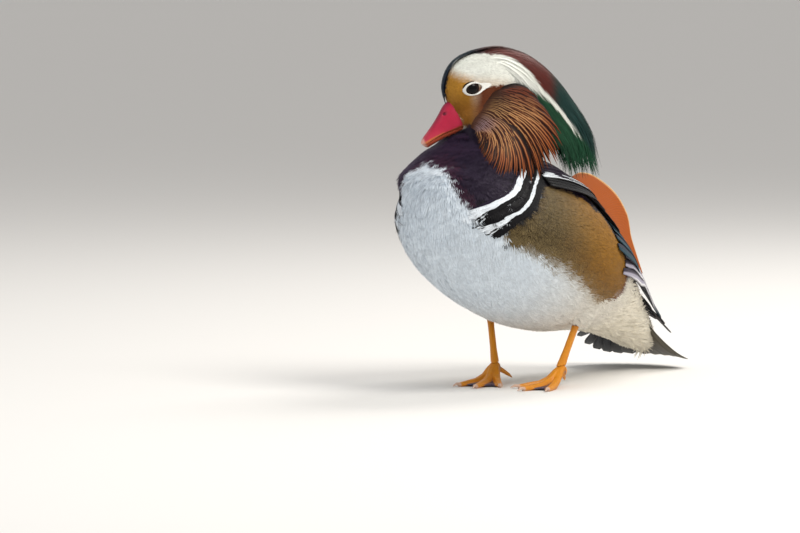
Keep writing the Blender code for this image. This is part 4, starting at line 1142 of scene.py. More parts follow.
def mantle_feather(across, along):
    return layered(BACK_PLUM, (BACK_EDGE, rise(0.5, 1.0, np.abs(across)) * 0.6))


def white_scapular(across, along):
    return layered(STRIPE, (BLACK, rise(0.55, 0.75, np.abs(across)) * rise(0.0, 0.2, along)))


def black_scapular(across, along):
    return np.tile(BLACK, (len(along), 1))


# Tiers: painter, how many, root and tip of the lowest, root and tip of the highest, width, lifts
WING_TIERS = [
    (primary, 10, (0.030, 99), (0.113, 78), (0.052, 40), (0.134, 42), 0.0088, (0.0002, 0.0058)),
    (secondary, 8, (0.022, 84), (0.062, 84), (0.046, 24), (0.100, 32), 0.0100, (0.0004, 0.0030)),
    (tertial, 5, (0.028, 46), (0.084, 60), (0.036, 11), (0.098, 21), 0.0125, (0.0006, 0.0030)),
    (covert, 9, (0.010, 42), (0.048, 58), (0.016, 11), (0.062, 17), 0.0098, (0.0006, 0.0026)),
    (covert, 9, (-0.002, 37), (0.030, 51), (0.002, 11), (0.040, 15), 0.0090, (0.0006, 0.0026)),
    (mantle_feather, 9, (-0.018, 33), (0.016, 44), (-0.014, 7), (0.022, 12), 0.0086, (0.0006, 0.0028)),
    (mantle_feather, 8, (-0.032, 34), (-0.002, 38), (-0.030, 5), (0.004, 9), 0.0084, (0.0006, 0.0030)),
    (black_scapular, 3, (-0.036, 49), (0.020, 49), (-0.036, 43), (0.024, 43), 0.0058, (0.0010, 0.0032)),
    (white_scapular, 3, (-0.036, 41), (0.030, 40), (-0.030, 37), (0.022, 37), 0.0046, (0.0016, 0.0042)),
]
print(len(WING_TIERS), "tiers")


# %% Make the wings
def wing_feathers(side):
    made = []
    for painter, count, root_low, tip_low, root_high, tip_high, width, lifts in WING_TIERS:
        for k in range(count):
            t = k / (count - 1)
            root, tip = ([a + (b - a) * t for a, b in zip(low, high)]
                         for low, high in ((root_low, root_high), (tip_low, tip_high)))
            path, aside = laid_feather(side, root, tip, lifts)
            made.append((path, aside * side, blade_shape(width), paint_blade(painter)))
    return made


for side, word in SIDES:
    blades("wing_feathers_" + word, wing_feathers(side), "dark_wing", 0.10 * side, 0.00035, ("wing_" + word,))

# %% [markdown]
# ## The sails
# The two orange feathers that stand up over the back are the mandarin's sign. Each is one broad blade
# whose height above its lower edge is read from a table; a thin cream rim and a dark leading edge frame it.

# %% Make the sails
SAIL_ROOT, SAIL_TIP = (0.0200, 0.014, 0.1240), (0.0175, 0.1015, 0.0650)
SAIL_ROWS, SAIL_COLUMNS, SAIL_FOOT, SAIL_BOW = 40, 23, 0.003, 0.004
SAIL_HEIGHTS = [
    (0.00, 0.0070), (0.14, 0.0170), (0.32, 0.0230), (0.56, 0.0262), (0.68, 0.0235), (0.78, 0.0135),
    (0.90, 0.0065), (1.00, 0.0015),
]
ORANGE, RUST, RIM, SAIL_FRONT = tints("ac520a 6e3208 e2bc80 27232f")


def sail_paint(across, along):
    return layered(
        ORANGE,
        (RUST, rise(0.2, -0.9, across) * 0.8),
        (SAIL_FRONT, rise(-0.70, -0.82, across) * rise(0.9, 0.7, along)),
        (RIM, rise(0.93, 0.97, across) * rise(0.02, 0.2, along) * 0.9),
        (RIM, rise(-0.93, -0.97, across) * rise(0.1, 0.3, along)),
    )


def sail_feather(side):
    along = np.linspace(0, 1, SAIL_ROWS)
    root, tip = (np.array([side * x, y + STAND.y, z]) for x, y, z in (SAIL_ROOT, SAIL_TIP))
    edge = root + (tip - root) * along[:, None]
    edge[:, 2] += SAIL_BOW * np.sin(math.pi * along)
    height = curve(SAIL_HEIGHTS, along)
    middle = edge + np.array([0, 0, 1.0]) * ((height - SAIL_FOOT) / 2)[:, None]
    lean = 0.16 * np.sin(math.pi * along) - 0.10
    outward = np.column_stack([np.full(SAIL_ROWS, float(side)), np.zeros(SAIL_ROWS), lean])
    upward = unit(np.cross(outward, unit(np.gradient(middle, axis=0))))
    upward *= np.sign(upward[:, 2:3])
    return middle, upward, (height + SAIL_FOOT) / 2, paint_blade(sail_paint, SAIL_ROWS, SAIL_COLUMNS)


for side, word in SIDES:
    blades("sail_feather_" + word, [sail_feather(side)], "orange_sail", 0.06 * side, 0.0005,
           ("sail_" + word,), SAIL_VANE, SAIL_COLUMNS)

# %% [markdown]
# ## The tail
# Twelve rounded feathers fan out under the wing tips, swung to the bird's right. Short coverts hide their
# quills above, and the long pale ones below are part of the coat.

# %% Make the tail
FAN_ROOT, FAN_LENGTH = Vector((0.0080, 0.1130, 0.0420)), 0.0570
FAN_MIDDLE, FAN_SPREAD, FAN_SIZE = math.radians(26), math.radians(36), 12
# How many coverts, and where their roots and tips lie behind the feet
COVERT_TIERS = [(7, 0.104, 0.142), (6, 0.096, 0.128), (5, 0.086, 0.114)]
TAIL_LIT_OLIVE, TAIL_SHADED_SLATE, TAIL_EDGE = tints("6d675a 3a3c42 22211f")


def tail_paint(share):
    # From the bird's right to its left the fan goes from slate to olive: the right-hand feathers carry painted
    # shade, the left-hand ones their own olive with painted light
    base = TAIL_SHADED_SLATE + (TAIL_LIT_OLIVE - TAIL_SHADED_SLATE) * rise(0.25, 0.75, share)
    return lambda across, along: layered(
        base, (TAIL_EDGE, rise(0.14, 0.02, np.abs(across)) * 0.6),
        (TAIL_EDGE, rise(0.72, 1.0, np.abs(across)) * 0.55))


def tail_feather(k):
    """One feather of the fan; v runs from -1, outermost on the right, to 1."""
    v = 2 * k / (FAN_SIZE - 1) - 1
    root = Vector((FAN_ROOT.x * v, FAN_ROOT.y, FAN_ROOT.z - 0.0040 * v * v)) + STAND
    heading = FAN_MIDDLE - FAN_SPREAD * v
    way = Vector((-math.sin(heading), math.cos(heading), 0))
    length = FAN_LENGTH * (1 - 0.12 * v * v - 0.08 * max(0.0, v))
    fall = root.z - 0.0062 - 0.0125 * max(0.0, -v) ** 3
    bend = root + way * length * 0.5 - Vector((0, 0, 0.58 * fall + 0.003 * v))
    tip = root + way * length - Vector((0, 0, fall))
    pull = bend * 2 - root.lerp(tip, 0.5)
    over = Vector((0, 0, 0.0005 * (1 - abs(v))))
    path = [root.lerp(pull, t).lerp(pull.lerp(tip, t), t) + over for t in np.linspace(0, 1, ROWS)]
    facing = Vector((0, 0, 1)) + way * 0.5
    points, sides = tiled(path, [facing] * ROWS, TILE_ROLL * (1 if v > 0 else -1))
    return points, sides, blade_shape(0.0145, full_from=0.5), paint_blade(tail_paint(k / (FAN_SIZE - 1)))


def upper_coverts():
    """Short feathers over the quills of the tail."""
    made, t = [], np.linspace(0, 1, ROWS)[:, None]
    for tier, (count, y0, y1) in enumerate(COVERT_TIERS):
        for k in range(count):
            v = 2 * k / (count - 1) - 1
            root = np.array([0.011 * v, y0 + STAND.y, 0.0505 + 0.010 * tier - 0.006 * v * v])
            tip = np.array([
                0.022 * v - 0.004, y1 - 0.005 * v * v + STAND.y, 0.0335 + 0.0085 * tier - 0.009 * v * v])
            path = root + (tip - root) * t + np.array([0, 0, 0.003]) * np.sin(t * math.pi)
            facing = np.array([0.6 * v, 0.35, 1.0]) * np.ones((ROWS, 1))
            made.append((path, width_way(path, facing), blade_shape(0.0105), paint_blade(covert)))
    return made


blades("tail_feathers", [tail_feather(k) for k in range(FAN_SIZE)], "brown_tail", -0.06, 0.0004, ("tail",))
blades("tail_coverts", upper_coverts(), "brown_tail", -0.1, 0.0004)

# %% [markdown]
# ## The crest
# The crest is long hair-like feathers that run back from the forehead and hang over the nape. They follow
# a ridge line with a width and a depth along it. A core painted dark as painted shade fills the middle, and
# thousands of thin strands follow the same form, each starting somewhere along it, so that the end frays into
# a fringe.

# %% The crest's core
core = crest_tube("crest_core", 0.40, 0.93, 30, lambda share: 0.0012 + 0.0020 * share)
points, _ = vertex_arrays(core.data)
# The core wears the head's markings at 0.6 of their brightness: painted shade inside the crest
dress(core, plain(head_markings(points) * 0.6), CREST_GLOSS, "green_crest", "crest")
print("crest core in place")

# %% The crest's strands
# In front of this share of the ridge, strands grow on the dark crown only
STRANDS_FROM = 0.36
# How far round the strands lie, in degrees, by share of the ridge
CREST_REACH = [(0.0, 60), (0.1, 80), (0.2, 96), (0.35, 110), (0.5, 118), (0.8, 124), (1.2, 124)]


def crest_strands(name, count, rows, first, last, reach, half, lift, wander, seed):
    """Strands that follow the crest from a root between two shares of its length."""
    chance = np.random.default_rng(seed)
    start, length, around = (chance.uniform(*span, count) for span in ((first, last), reach, (-1, 1)))
    spread = curve(CREST_REACH, start + length * 0.5)
    t = np.linspace(0, 1, rows)
    share = start[:, None] + length[:, None] * t
    degrees = (around * spread)[:, None] * (1 + 0.05 * t) + chance.normal(0, wander, (count, 1)) * t
    over = chance.uniform(*lift, (count, 1)) * (0.25 + 0.75 * t) - 0.0018 * (1 - t) ** 3
    local, facing = crest_places(share, degrees, over)
    ends = rise(0.8, 1.05, start + length)[:, None]
    stray = chance.normal(0, 1, (count, 1, 3)) * (0.0012 * (t ** 2) * ends)[..., None]
    flare = chance.uniform(0.2, 1.0, (count, 1)) * rise(0.80, 1.08, start + length)[:, None] * t ** 2.2
    local = local + stray + flare[..., None] * np.array([0.0, 0.0062, 0.0012])
    points = from_head(local)
    sides = width_way(points, facing @ HEAD_OUT[:3, :3].T)
    along, up = (values.reshape(count, rows) for values in profile_place(points.reshape(-1, 3)))
    crown = (up > curve(BAND_TOP, along)) | (share > STRANDS_FROM + 0.06)
    kept = (start > STRANDS_FROM) | crown.all(axis=1)
    points, sides, count = points[kept], sides[kept], int(kept.sum())
    colour = head_markings(points.reshape(-1, 3)).reshape(count, rows, 3)
    paint = plain(np.clip(colour * chance.uniform(0.75, 1.15, (count, 1, 1)), 0, 1))
    shape = np.array([0.5] + [1.0] * (rows - 3) + [0.7, 0.08])[None, :]
    halves = half * shape * chance.uniform(0.7, 1.2, (count, 1))
    ribbons(name, points, sides, halves, paint, CREST_GLOSS, "green_crest")
    print(name, count, "strands")


crest_strands("crest_locks", 5200, 7, 0.00, 0.62, (0.20, 0.36), 0.00042, (-0.0010, 0.0005), 3.0, 21)
crest_strands("crest_hair", 4200, 8, 0.40, 0.74, (0.24, 0.34), 0.00024, (-0.0016, 0.0006), 6.0, 22)

# %% [markdown]
# ## The ruff
# Long pointed hackles fan back and down from each cheek. Each is narrow, dark at its sides and pale along
# its shaft, and they lie in layers. Each one is bent clear of the skin where the head is turned onto it.

# %% The ruff's measures
# Root, pull and tip of hackles round the fan, each as back and up from the middle of the head
RUFF = [
    (-0.0006, -0.0226, 0.0043, -0.0285, -0.0015, -0.0332),
    (-0.0002, -0.0214, 0.0142, -0.0263, 0.0025, -0.0427),
    (0.0001, -0.0201, 0.0195, -0.0277, 0.0078, -0.0484), (0.0010, -0.0185, 0.0235, -0.0290, 0.0145, -0.0530),
    (0.0020, -0.0170, 0.0287, -0.0242, 0.0250, -0.0551), (0.0033, -0.0152, 0.0314, -0.0180, 0.0356, -0.0559),
    (0.0047, -0.0134, 0.0334, -0.0140, 0.0436, -0.0524), (0.0060, -0.0115, 0.0364, -0.0109, 0.0502, -0.0432),
    (0.0073, -0.0097, 0.0414, -0.0086, 0.0549, -0.0328), (0.0086, -0.0075, 0.0384, -0.0020, 0.0522, -0.0233),
    (0.0100, -0.0053, 0.0354, 0.0032, 0.0469, -0.0151), (0.0114, -0.0035, 0.0321, 0.0057, 0.0416, -0.0069),
    (0.0127, -0.0017, 0.0261, 0.0060, 0.0377, -0.0011),
]
RUFF_ROWS, RUFF_COLUMNS, RUFF_PAD, RUFF_SEED = 10, 7, (0.0090, -0.0148), 31
# Layers: how many hackles, their length, how far out they lie, how far their roots are set back, half width
# and how bright they are; the first is a dark lining, painted dark as painted shade under the hackles
RUFF_LAYERS = [
    (44, 0.95, 0.0000, 0.0040, 0.0036, 0.25), (52, 1.00, 0.0006, 0.0040, 0.0017, 0.9),
    (44, 0.92, 0.0012, 0.0015, 0.0016, 1.0), (40, 0.80, 0.0018, 0.0000, 0.0015, 1.0),
    (38, 0.64, 0.0024, -0.0010, 0.0014, 1.0), (38, 0.47, 0.0029, -0.0015, 0.0012, 0.9),
    (40, 0.31, 0.0033, -0.0020, 0.0010, 0.8),
]
# The way towards a viewer of the head's profile, in the head's own places, for its left side
PROFILE_WAY = np.array([0.937, -0.341, 0.070])
RUFF_SIGHT, HEAD_SIGHT = 0.06, 0.05


def skin_reach(side, back, up):
    """How far from the head's middle plane the skin lies, at places in that plane."""
    starts = [HEAD @ Vector((side * HEAD_SIGHT, b, u)) for b, u in zip(np.ravel(back), np.ravel(up))]
    reach = [HEAD_SIGHT - skin_tree.ray_cast(start, HEAD_LEFT * -side)[3] for start in starts]
    return np.array(reach).reshape(np.shape(back))


def draped(local, side, clear):
    """Paths in the head's places, moved towards a viewer of the profile until they are clear of the skin."""
    way = PROFILE_WAY * np.array([side, 1, 1])
    towards = HEAD.to_3x3() @ Vector(way)
    need = np.zeros(local.shape[:2])
    for i, path in enumerate(from_head(local)):
        for k, place in enumerate(path):
            start = Vector(place) + towards * RUFF_SIGHT
            hit, _, _, distance = skin_tree.ray_cast(start, -towards, RUFF_SIGHT)
            need[i, k] = 0 if hit is None or k == 0 else RUFF_SIGHT - distance + clear
    steps = np.linspace(0, 1, local.shape[1])
    ease = np.minimum(1, (steps[:, None] / np.maximum(steps[None, :], 1e-3)) ** 1.3)
    push = (need[:, None, :] * ease[None]).max(axis=2)
    return local + push[..., None] * way


print(sum(layer[0] for layer in RUFF_LAYERS), "hackles a side")


# %% The ruff's hackles
def hackle_colours(far, around, edge, bright):
    """Colours from how far along, how far round the fan and how near its own edge a point lies."""
    colour = layered(
        RUFF_ROOT, (RUFF_MID, rise(0.10, 0.42, far)),
        (RUFF_TIP, rise(0.50, 0.95, far) * rise(0.95, 0.6, around)))
    colour = colour * (1 - 0.35 * rise(0.55, 0.9, around))[:, None]
    pale = rise(0.32, 0.12, edge) * rise(0.02, 0.10, far) * rise(1.0, 0.45, far) * rise(0.95, 0.6, around)
    shaft = layered(SHAFT, (LILAC_SHAFT, rise(0.35, 0.12, far) * rise(0.6, 0.3, around)))
    seam = rise(0.18, 0.50, edge) * (0.50 + 0.47 * rise(0.05, 0.30, far))
    return plain(layered(colour, (shaft, 0.85 * pale), (RUFF_DARK * 0.5, seam)) * bright)


def ruff(name, side, replaces):
    chance = np.random.default_rng(RUFF_SEED)
    cheek = float(skin_reach(side, *RUFF_PAD))
    t = np.linspace(0, 1, RUFF_ROWS)
    u = t[None, :, None]
    knots = np.arange(len(RUFF))
    made = []
    for count, length, lift, setback, half, bright in RUFF_LAYERS:
        share = (np.arange(count) + chance.uniform(0.1, 0.9, count)) / count
        rb, ru, pb, pu, tb, tu = (np.interp(share * knots[-1], knots, line) for line in np.array(RUFF).T)
        size = length * chance.uniform(0.92, 1.06, count)
        root = np.stack([rb + setback * 0.6, ru + setback * 0.1], axis=1)
        tip, pull = (root + (np.stack(ends, axis=1) - root) * size[:, None] for ends in ((tb, tu), (pb, pu)))
        spot = root[:, None] * (1 - u) ** 2 + pull[:, None] * 2 * u * (1 - u) + tip[:, None] * u ** 2
        flare = 0.0105 * (1 - 0.75 * rise(0.55, 1.0, share)) * size
        reach = cheek - 0.0008 + flare[:, None] * np.sin(1.5 * t)[None, :]
        reach = reach + lift * np.minimum(1, 2.5 * t)[None, :]
        local = np.concatenate([side * reach[..., None], spot], axis=-1)
        points = from_head(draped(local, side, 0.0006 + lift * 0.6))
        narrow = 0.55 + 0.45 * rise(0.0, 0.35, share) * rise(1.15, 0.8, share)
        shape = np.interp(t, [0, 0.2, 0.5, 0.8, 1], [0.35, 0.75, 1.0, 0.7, 0.03])
        halves = half * narrow[:, None] * shape[None, :] * chance.uniform(0.85, 1.15, (count, 1))
        grid = (count, RUFF_ROWS, RUFF_COLUMNS)
        places = ((t[None, :] * size[:, None])[:, :, None], share[:, None, None],
                  np.abs(np.linspace(-1, 1, RUFF_COLUMNS)))
        places = (np.broadcast_to(values, grid).ravel() for values in places)
        made.append((points, halves, hackle_colours(*places, bright).reshape(*grid, 4)))
    points, halves, colours = (np.concatenate(values) for values in zip(*made))
    out = unit(points - (HEAD_OUT[:3, 3] + HEAD_OUT[:3, :3] @ np.array([0, 0.012, -0.030])))
    sides = width_way(points, unit(out + np.array(HEAD_LEFT * side) * 2.0))
    return ribbons(
        name, points, sides, halves, colours, HACKLE, "rufous_plumes", RUFF_COLUMNS, 0.35, replaces)


for side, word in SIDES:
    made = ruff("ruff_hackles_" + word, side, ("ruff_" + word,))
    print(made[0].name, len(made[0].data.polygons), "faces")

# %% [markdown]
# ## The eyes and their lids
# The eyeball is a wet dark ball. A thin bare lid frames an almond opening, and behind and around it short
# white feathers make the eye-ring, drawn out to a point at the rear.

# %% Eyeballs
IRIS_STOPS = [
    (0.60, (0.006, 0.004, 0.003, 1)), (0.86, (0.012, 0.006, 0.004, 1)), (0.93, (0.002, 0.002, 0.002, 1)),
]
EYE_SINK = 0.0050


def eye_middle(side):
    return (side * EYE_PLACE[0], *EYE_PLACE[1:])


def eye_material(name, side):
    """A dark iris round a black pupil, told by the turn away from the eye's own axis."""
    material, tree, shader = new_material(
        name, {"Roughness": 0.06, "Specular IOR Level": 0.14, "Coat Weight": 0.0, "Coat Roughness": 0.02})
    middle = HEAD @ Vector(eye_middle(side))
    axis = HEAD.to_3x3() @ Vector((side, -0.10, 0.0)).normalized()
    offset = add_node(tree, "VectorMath", {0: object_place(tree), 1: middle}, operation="SUBTRACT")
    vectors = {0: offset.outputs["Vector"], 1: axis / EYE_RADIUS}
    dot = add_node(tree, "VectorMath", vectors, operation="DOT_PRODUCT")
    ramp = add_node(tree, "ValToRGB", {"Fac": dot.outputs["Value"]})
    stops = ramp.color_ramp.elements
    for stop, (place, colour) in zip((stops[0], stops.new(0.5), stops[-1]), IRIS_STOPS):
        stop.position, stop.color = place, colour
    feed(tree, shader.inputs["Base Color"], ramp.outputs["Color"])
    return material


def eyeball(name, side, node):
    turn = HEAD @ Matrix.Translation(eye_middle(side)) @ Matrix.Rotation(math.radians(90), 4, "Y")
    made = ball(name, 48, 32, turn @ Matrix.Scale(EYE_RADIUS, 4))
    # Under the lids the ball sinks, so that none of it shows beyond them
    local = head_place(vertex_arrays(made.data)[0])
    reach = in_almond(local[:, 1], local[:, 2] - EYE_PLACE[2], (0.0004, 0.0004))
    local[:, 0] -= side * EYE_SINK * rise(1.0, 1.5, reach)
    move_points(made, from_head(local))
    made.data.shade_smooth()
    made.data.materials.append(eye_material(name + "_gloss", side))
    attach(made, "root")
    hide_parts(node)


print("eyeballs of %.1f mm, tilted %.0f degrees" % (EYE_RADIUS * 2000, math.degrees(EYE_TILT)))

# %% Lids and eye-rings
# Bands of the lid from the opening outwards: growth, lift over the eyeball, lift over the skin, whiteness
LID_BANDS = [
    (0.0, 0.0001, -0.0010, 0.0), (0.00015, 0.0003, -0.0004, 0.5), (0.0003, 0.0004, 0.0003, 1.0),
    (0.0006, 0.0002, 0.0006, 1.0), (0.0009, -0.0012, 0.0003, 1.0), (0.0012, -0.0050, -0.0006, 1.0),
]
LID_POINTS, RING_FEATHERS, RING_ROWS, RING_SEED = 72, 900, 3, 41
LID_DARK, LID_PALE, RING_WHITE = tints("2b211e f4f4ee f6f5ef")


def almond(turns, grow):
    """Back and up of the almond opening's edge, with a point towards the rear."""
    back, up = np.cos(turns) * (EYE_OPENING[0] + grow), np.sin(turns) * (EYE_OPENING[1] + grow)
    back = back + (0.0003 + 1.1 * grow) * np.clip(np.cos(turns), 0, 1) ** 6
    c, s = math.cos(EYE_TILT), math.sin(EYE_TILT)
    return back * c - up * s, back * s + up * c + EYE_PLACE[2]


def over_eye(side, back, up, on_ball, on_skin):
    """Places over the eyeball or over the skin, whichever stands out more."""
    globe = np.sqrt(np.maximum(EYE_RADIUS ** 2 - back ** 2 - (up - EYE_PLACE[2]) ** 2, 0)) + EYE_PLACE[0]
    out = side * np.maximum(globe + on_ball, skin_reach(side, back, up) + on_skin)
    return from_head(np.stack([out, back, up], axis=-1))


def lid(name, side):
    """A band from the opening's edge on the eyeball out to the skin."""
    turns = np.linspace(0, math.tau, LID_POINTS + 1)[:-1]
    rings = [over_eye(side, *almond(turns, grow), on_ball, on_skin) for grow, on_ball, on_skin, _ in LID_BANDS]
    made = tube(name, rings, closed=False)
    colour = mix(LID_DARK, LID_PALE, np.repeat([band[3] for band in LID_BANDS], LID_POINTS))
    thicken(made, 0.0003, -1.0)
    dress(made, plain(colour), SOFT_COAT, "pale_face")


def eye_ring(name, side):
    """Short white feathers that lie outwards round the eye."""
    chance = np.random.default_rng(RING_SEED)
    turns, grow = (chance.uniform(*span, RING_FEATHERS) for span in ((0, math.tau), (0.0001, 0.0004)))
    rear = np.clip(np.cos(turns), 0, 1) ** 12
    grow = grow + 0.0014 * rear * chance.random(RING_FEATHERS)
    t = np.linspace(0, 1, RING_ROWS)
    out = grow[:, None] + (0.00035 + 0.0011 * rear)[:, None] * t[None, :]
    back, up = almond(np.repeat(turns[:, None], RING_ROWS, axis=1), out)
    points = over_eye(side, back + 0.0008 * t[None, :], up, 0.0004, 0.0009 - 0.0002 * t)
    sides = width_way(points, np.broadcast_to(np.array(HEAD_LEFT * side), points.shape))
    halves = 0.00022 * np.broadcast_to(np.array([1.0, 0.9, 0.15]), points.shape[:2])
    paint = plain(np.broadcast_to(RING_WHITE, points.shape))
    ribbons(name, points, sides, halves, paint, SOFT_COAT, "pale_face")


for side, word in SIDES:
    eyeball("eyeball_" + word, side, "eye_" + word)
    lid("lid_" + word, side)
    eye_ring("eye_ring_" + word, side)
print("lids and eye-rings of", RING_FEATHERS, "feathers")

# %% [markdown]
# ## The bill, the legs and the feet
# The bill's two mandibles are lofted from a short table, with the nostrils sunk into the upper one. Legs
# and feet have soft edges everywhere, so a copy of each solid is merged, remeshed with small voxels and
# relaxed, which rounds its facets as filing would. The colours are stored on the points.

# %% Horn and scales
def horn(name, roughness, coat, scale, strength, scales=False):
    """Horn or scaly skin over the colours that a piece carries."""
    material, tree, shader = new_material(name, {
        "Roughness": roughness, "Specular IOR Level": 0.3, "Coat Weight": coat, "Coat Roughness": 0.25,
        "Subsurface Weight": 0.08, "Subsurface Radius": (0.002, 0.001, 0.0006),
    })
    paint, where = attribute(tree, "tint")["Color"], object_place(tree)
    if scales:
        pattern = add_node(tree, "TexVoronoi", {"Scale": scale, "Vector": where}, feature="DISTANCE_TO_EDGE")
        height = maths(tree, "MINIMUM", pattern.outputs["Distance"], 0.12)
    else:
        height = add_node(tree, "TexNoise", {"Detail": 6.0, "Scale": scale, "Vector": where}).outputs["Fac"]
    mottle = add_node(tree, "TexNoise", {"Scale": 260.0, "Vector": where}).outputs["Fac"]
    dark = blend_colour(tree, 1.0, paint, (0.66, 0.58, 0.55), "MULTIPLY")
    share = maths(tree, "MULTIPLY", mottle, 0.55)
    feed(tree, shader.inputs["Base Color"], blend_colour(tree, share, paint, dark))
    bumped(tree, shader, height, strength, 0.0003)
    return material


BILL_HORN = horn("bill_horn", 0.40, 0.12, 700.0, 0.15)
SCALY_SKIN = horn("scaly_skin", 0.46, 0.15, 900.0, 0.75, scales=True)
print("horn and scales")

# %% The bill's form
# Ridge (back, up), cutting edge (back, up) and half width, from inside the face to the tip
BILL = [
    (-0.0115, -0.0065, 0.0005, -0.0215, 0.0074), (-0.0146, -0.0095, -0.0040, -0.0227, 0.0072),
    (-0.0178, -0.0150, -0.0100, -0.0247, 0.0067), (-0.0212, -0.0205, -0.0165, -0.0271, 0.0061),
    (-0.0250, -0.0258, -0.0220, -0.0298, 0.0057), (-0.0278, -0.0296, -0.0256, -0.0320, 0.0050),
    (-0.0294, -0.0328, -0.0281, -0.0340, 0.0034),
]
BILL_LINES, BILL_RINGS, ARC_POINTS, FLAT_POINTS = by_share(BILL), 70, 41, 15
NOSTRIL, NOSTRIL_SLOPE, NOSTRIL_SIZE = (0.0043, -0.0152, -0.0146), math.radians(52.0), (0.0020, 0.0008)
# From here on, as a share of its length, the bill rounds off towards its tip
TIP_FROM, TIP_SHARE = 0.93, 0.07


def bill_rings(upper):
    """Rings of one mandible, as (rings, places round, 3) in the head's own places."""
    share = np.linspace(0, 1, BILL_RINGS)
    closing = np.sqrt(np.clip(1 - ((share - TIP_FROM) / TIP_SHARE) ** 2, 0.01, 1))
    close = np.where(share > TIP_FROM, closing, 1.0)[:, None]
    rb, ru, eb, eu, half = (curve(line, share)[:, None] for line in BILL_LINES)
    half = half * close
    turn = np.linspace(0, math.pi, ARC_POINTS)[None, :]
    flat = (BILL_RINGS, FLAT_POINTS)
    if upper:
        lip = 0.03 * np.exp(-((turn - 0.12) / 0.1) ** 2) + 0.03 * np.exp(-((turn - 3.02) / 0.1) ** 2)
        arc = np.broadcast_to(np.sin(turn) ** 0.8, (BILL_RINGS, ARC_POINTS))
        lift = np.concatenate([arc, np.full(flat, 0.05)], axis=1)
        under = np.linspace(-0.96, 0.96, FLAT_POINTS)[None, :]
        x = np.concatenate([np.cos(turn) * half * (1 + lip), under * half], axis=1)
        middle = 0.35
        lift = middle + (lift - middle) * close
        return pitted(np.stack([x, eb + (rb - eb) * lift, eu + (ru - eu) * lift], axis=-1))
    long = np.hypot(rb - eb, ru - eu)
    drop_b, drop_u = (eb - rb) / long, (eu - ru) / long
    deep = (0.0014 + 0.0030 * half / 0.0072 * (1 - long / 0.030)) * close
    down = np.concatenate([np.sin(turn) * deep, np.zeros(flat)], axis=1) + 0.0001
    over = np.linspace(-0.86, 0.86, FLAT_POINTS)[None, :]
    x = np.concatenate([np.cos(turn) * half * 0.90, over * half], axis=1)
    return np.stack([x, eb + drop_b * down, eu + drop_u * down], axis=-1)


def pitted(places):
    """Places of the upper mandible with the two nostrils sunk into it."""
    back, up = places[..., 1] - NOSTRIL[1], places[..., 2] - NOSTRIL[2]
    c, s = math.cos(NOSTRIL_SLOPE), math.sin(NOSTRIL_SLOPE)
    reach = np.hypot((back * c + up * s) / NOSTRIL_SIZE[0], (up * c - back * s) / NOSTRIL_SIZE[1])
    sunk = 0.0011 * rise(1.0, 0.55, reach) - 0.00022 * rise(1.9, 1.25, reach) * rise(0.9, 1.2, reach)
    places[..., 0] -= np.sign(places[..., 0]) * sunk * (np.abs(places[..., 0]) > 0.0015)
    return places


print("bill lofted through", len(BILL), "stations")

# %% The bill
CRIMSON, WINE, ROSE, NAIL, TOMIUM = tints("b0143c 7a1238 c83c50 e3b4a4 c9703a")
NAIL_PLACE = (0.0290, 0.0338)


def bill(half):
    upper = half == "upper"
    made = tube("mandible_" + half, bill_rings(upper))
    made.data.transform(HEAD)
    points, _ = vertex_arrays(made.data)
    left, back, up = head_place(points).T
    ahead = (curve(sorted((row[3], row[2]) for row in BILL), up) - back) * 0.45
    strip = rise(0.0016, 0.0009, ahead) if upper else np.full(len(up), 0.7)
    tip = np.linalg.norm(np.stack([left, back + NAIL_PLACE[0], up + NAIL_PLACE[1]], axis=1), axis=1)
    pit = np.hypot(back - NOSTRIL[1], up - NOSTRIL[2])
    colour = layered(
        CRIMSON,
        (WINE, rise(0.0045, 0.0010, np.abs(left)) * rise(-0.030, -0.014, up) * 0.7),
        (ROSE, rise(-0.022, -0.030, up) * 0.5),
        (TOMIUM, strip * 0.85),
        (NAIL, rise(0.0048, 0.0030, tip) * 0.8),
        # The nostril's pit is painted dark: painted shade in the hollow
        (WINE * 0.4, rise(0.0013, 0.0006, pit) * upper * 0.8),
    )
    return dress(made, plain(colour), BILL_HORN, "red_bill", "bill_" + half, barbs=False)


for half in ("upper", "lower"):
    print(bill(half).name)

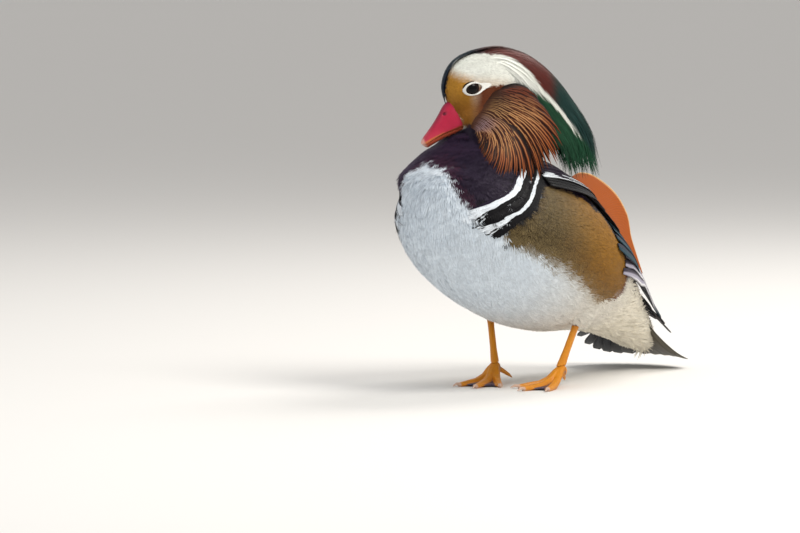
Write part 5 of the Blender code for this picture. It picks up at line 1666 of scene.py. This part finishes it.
# %% Legs and feet
ANKLES = {"left": Vector((0.0240, 0.0000, 0)) + STAND, "right": Vector((-0.0235, -0.0050, 0)) + STAND}
TOE_TURN = {"left": math.radians(2.0), "right": math.radians(-16.0)}
TOES = [(22.0, 0.040), (-1.0, 0.0455), (-25.0, 0.0355)]
LEG_VOXEL, LEG_PASSES = 0.00045, 3
LEG, LEG_DARK, WEB, CLAW = tints("dd8f1d a8660f 4b4357 d8b8a4")


def leg_colours(points, side, word):
    # The top of the shank, where it goes up under the belly, is painted darker: painted shade
    return layered(LEG, (LEG_DARK, rise(0.030, 0.040, points[:, 2]) * 0.5))


def foot_colours(points, side, word):
    x, y, z = (points - np.array(ANKLES[word])).T
    nearest, nail = np.full(len(x), 1.0), np.zeros(len(x))
    for turn, length in TOES:
        heading = TOE_TURN[word] - side * math.radians(turn)
        ahead = -math.sin(heading) * x - math.cos(heading) * y
        aside = np.abs(-math.cos(heading) * x + math.sin(heading) * y)
        aside = np.where(ahead < -0.002, 0.0, aside)
        nearest = np.minimum(nearest, aside)
        nail = np.maximum(nail, rise(length * 0.83, length * 0.87, ahead) * (aside < 0.003))
    dark, web = rise(0.0022, 0.0028, nearest) * 0.6, rise(0.0026, 0.0034, nearest) * rise(0.012, 0.009, z)
    return layered(LEG, (LEG_DARK, dark), (WEB, web), (CLAW, nail))


def limb(name, node, painter, side, word):
    """A finely remeshed and relaxed copy of a solid, in its own colours."""
    copy = bmesh.new()
    copy.from_mesh(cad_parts[node].data)
    bmesh.ops.remove_doubles(copy, verts=copy.verts, dist=0.00001)
    made = melted(mesh_object(name, copy), LEG_VOXEL, LEG_PASSES)
    points, _ = vertex_arrays(made.data)
    dress(made, plain(painter(points, side, word)), SCALY_SKIN, "yellow_leg", node, barbs=False)
    print(name, len(points), "points")


for side, word in SIDES:
    limb("lower_leg_" + word, "shank_" + word, leg_colours, side, word)
    limb("webbed_foot_" + word, "foot_" + word, foot_colours, side, word)

# %% [markdown]
# ## The triangle count
# The triangles of all the pieces that show are counted and printed.

# %% Count the triangles
total = sum(len(p.data.polygons) * 2 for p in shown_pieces() if p.type == "MESH")
print("about", total, "triangles")
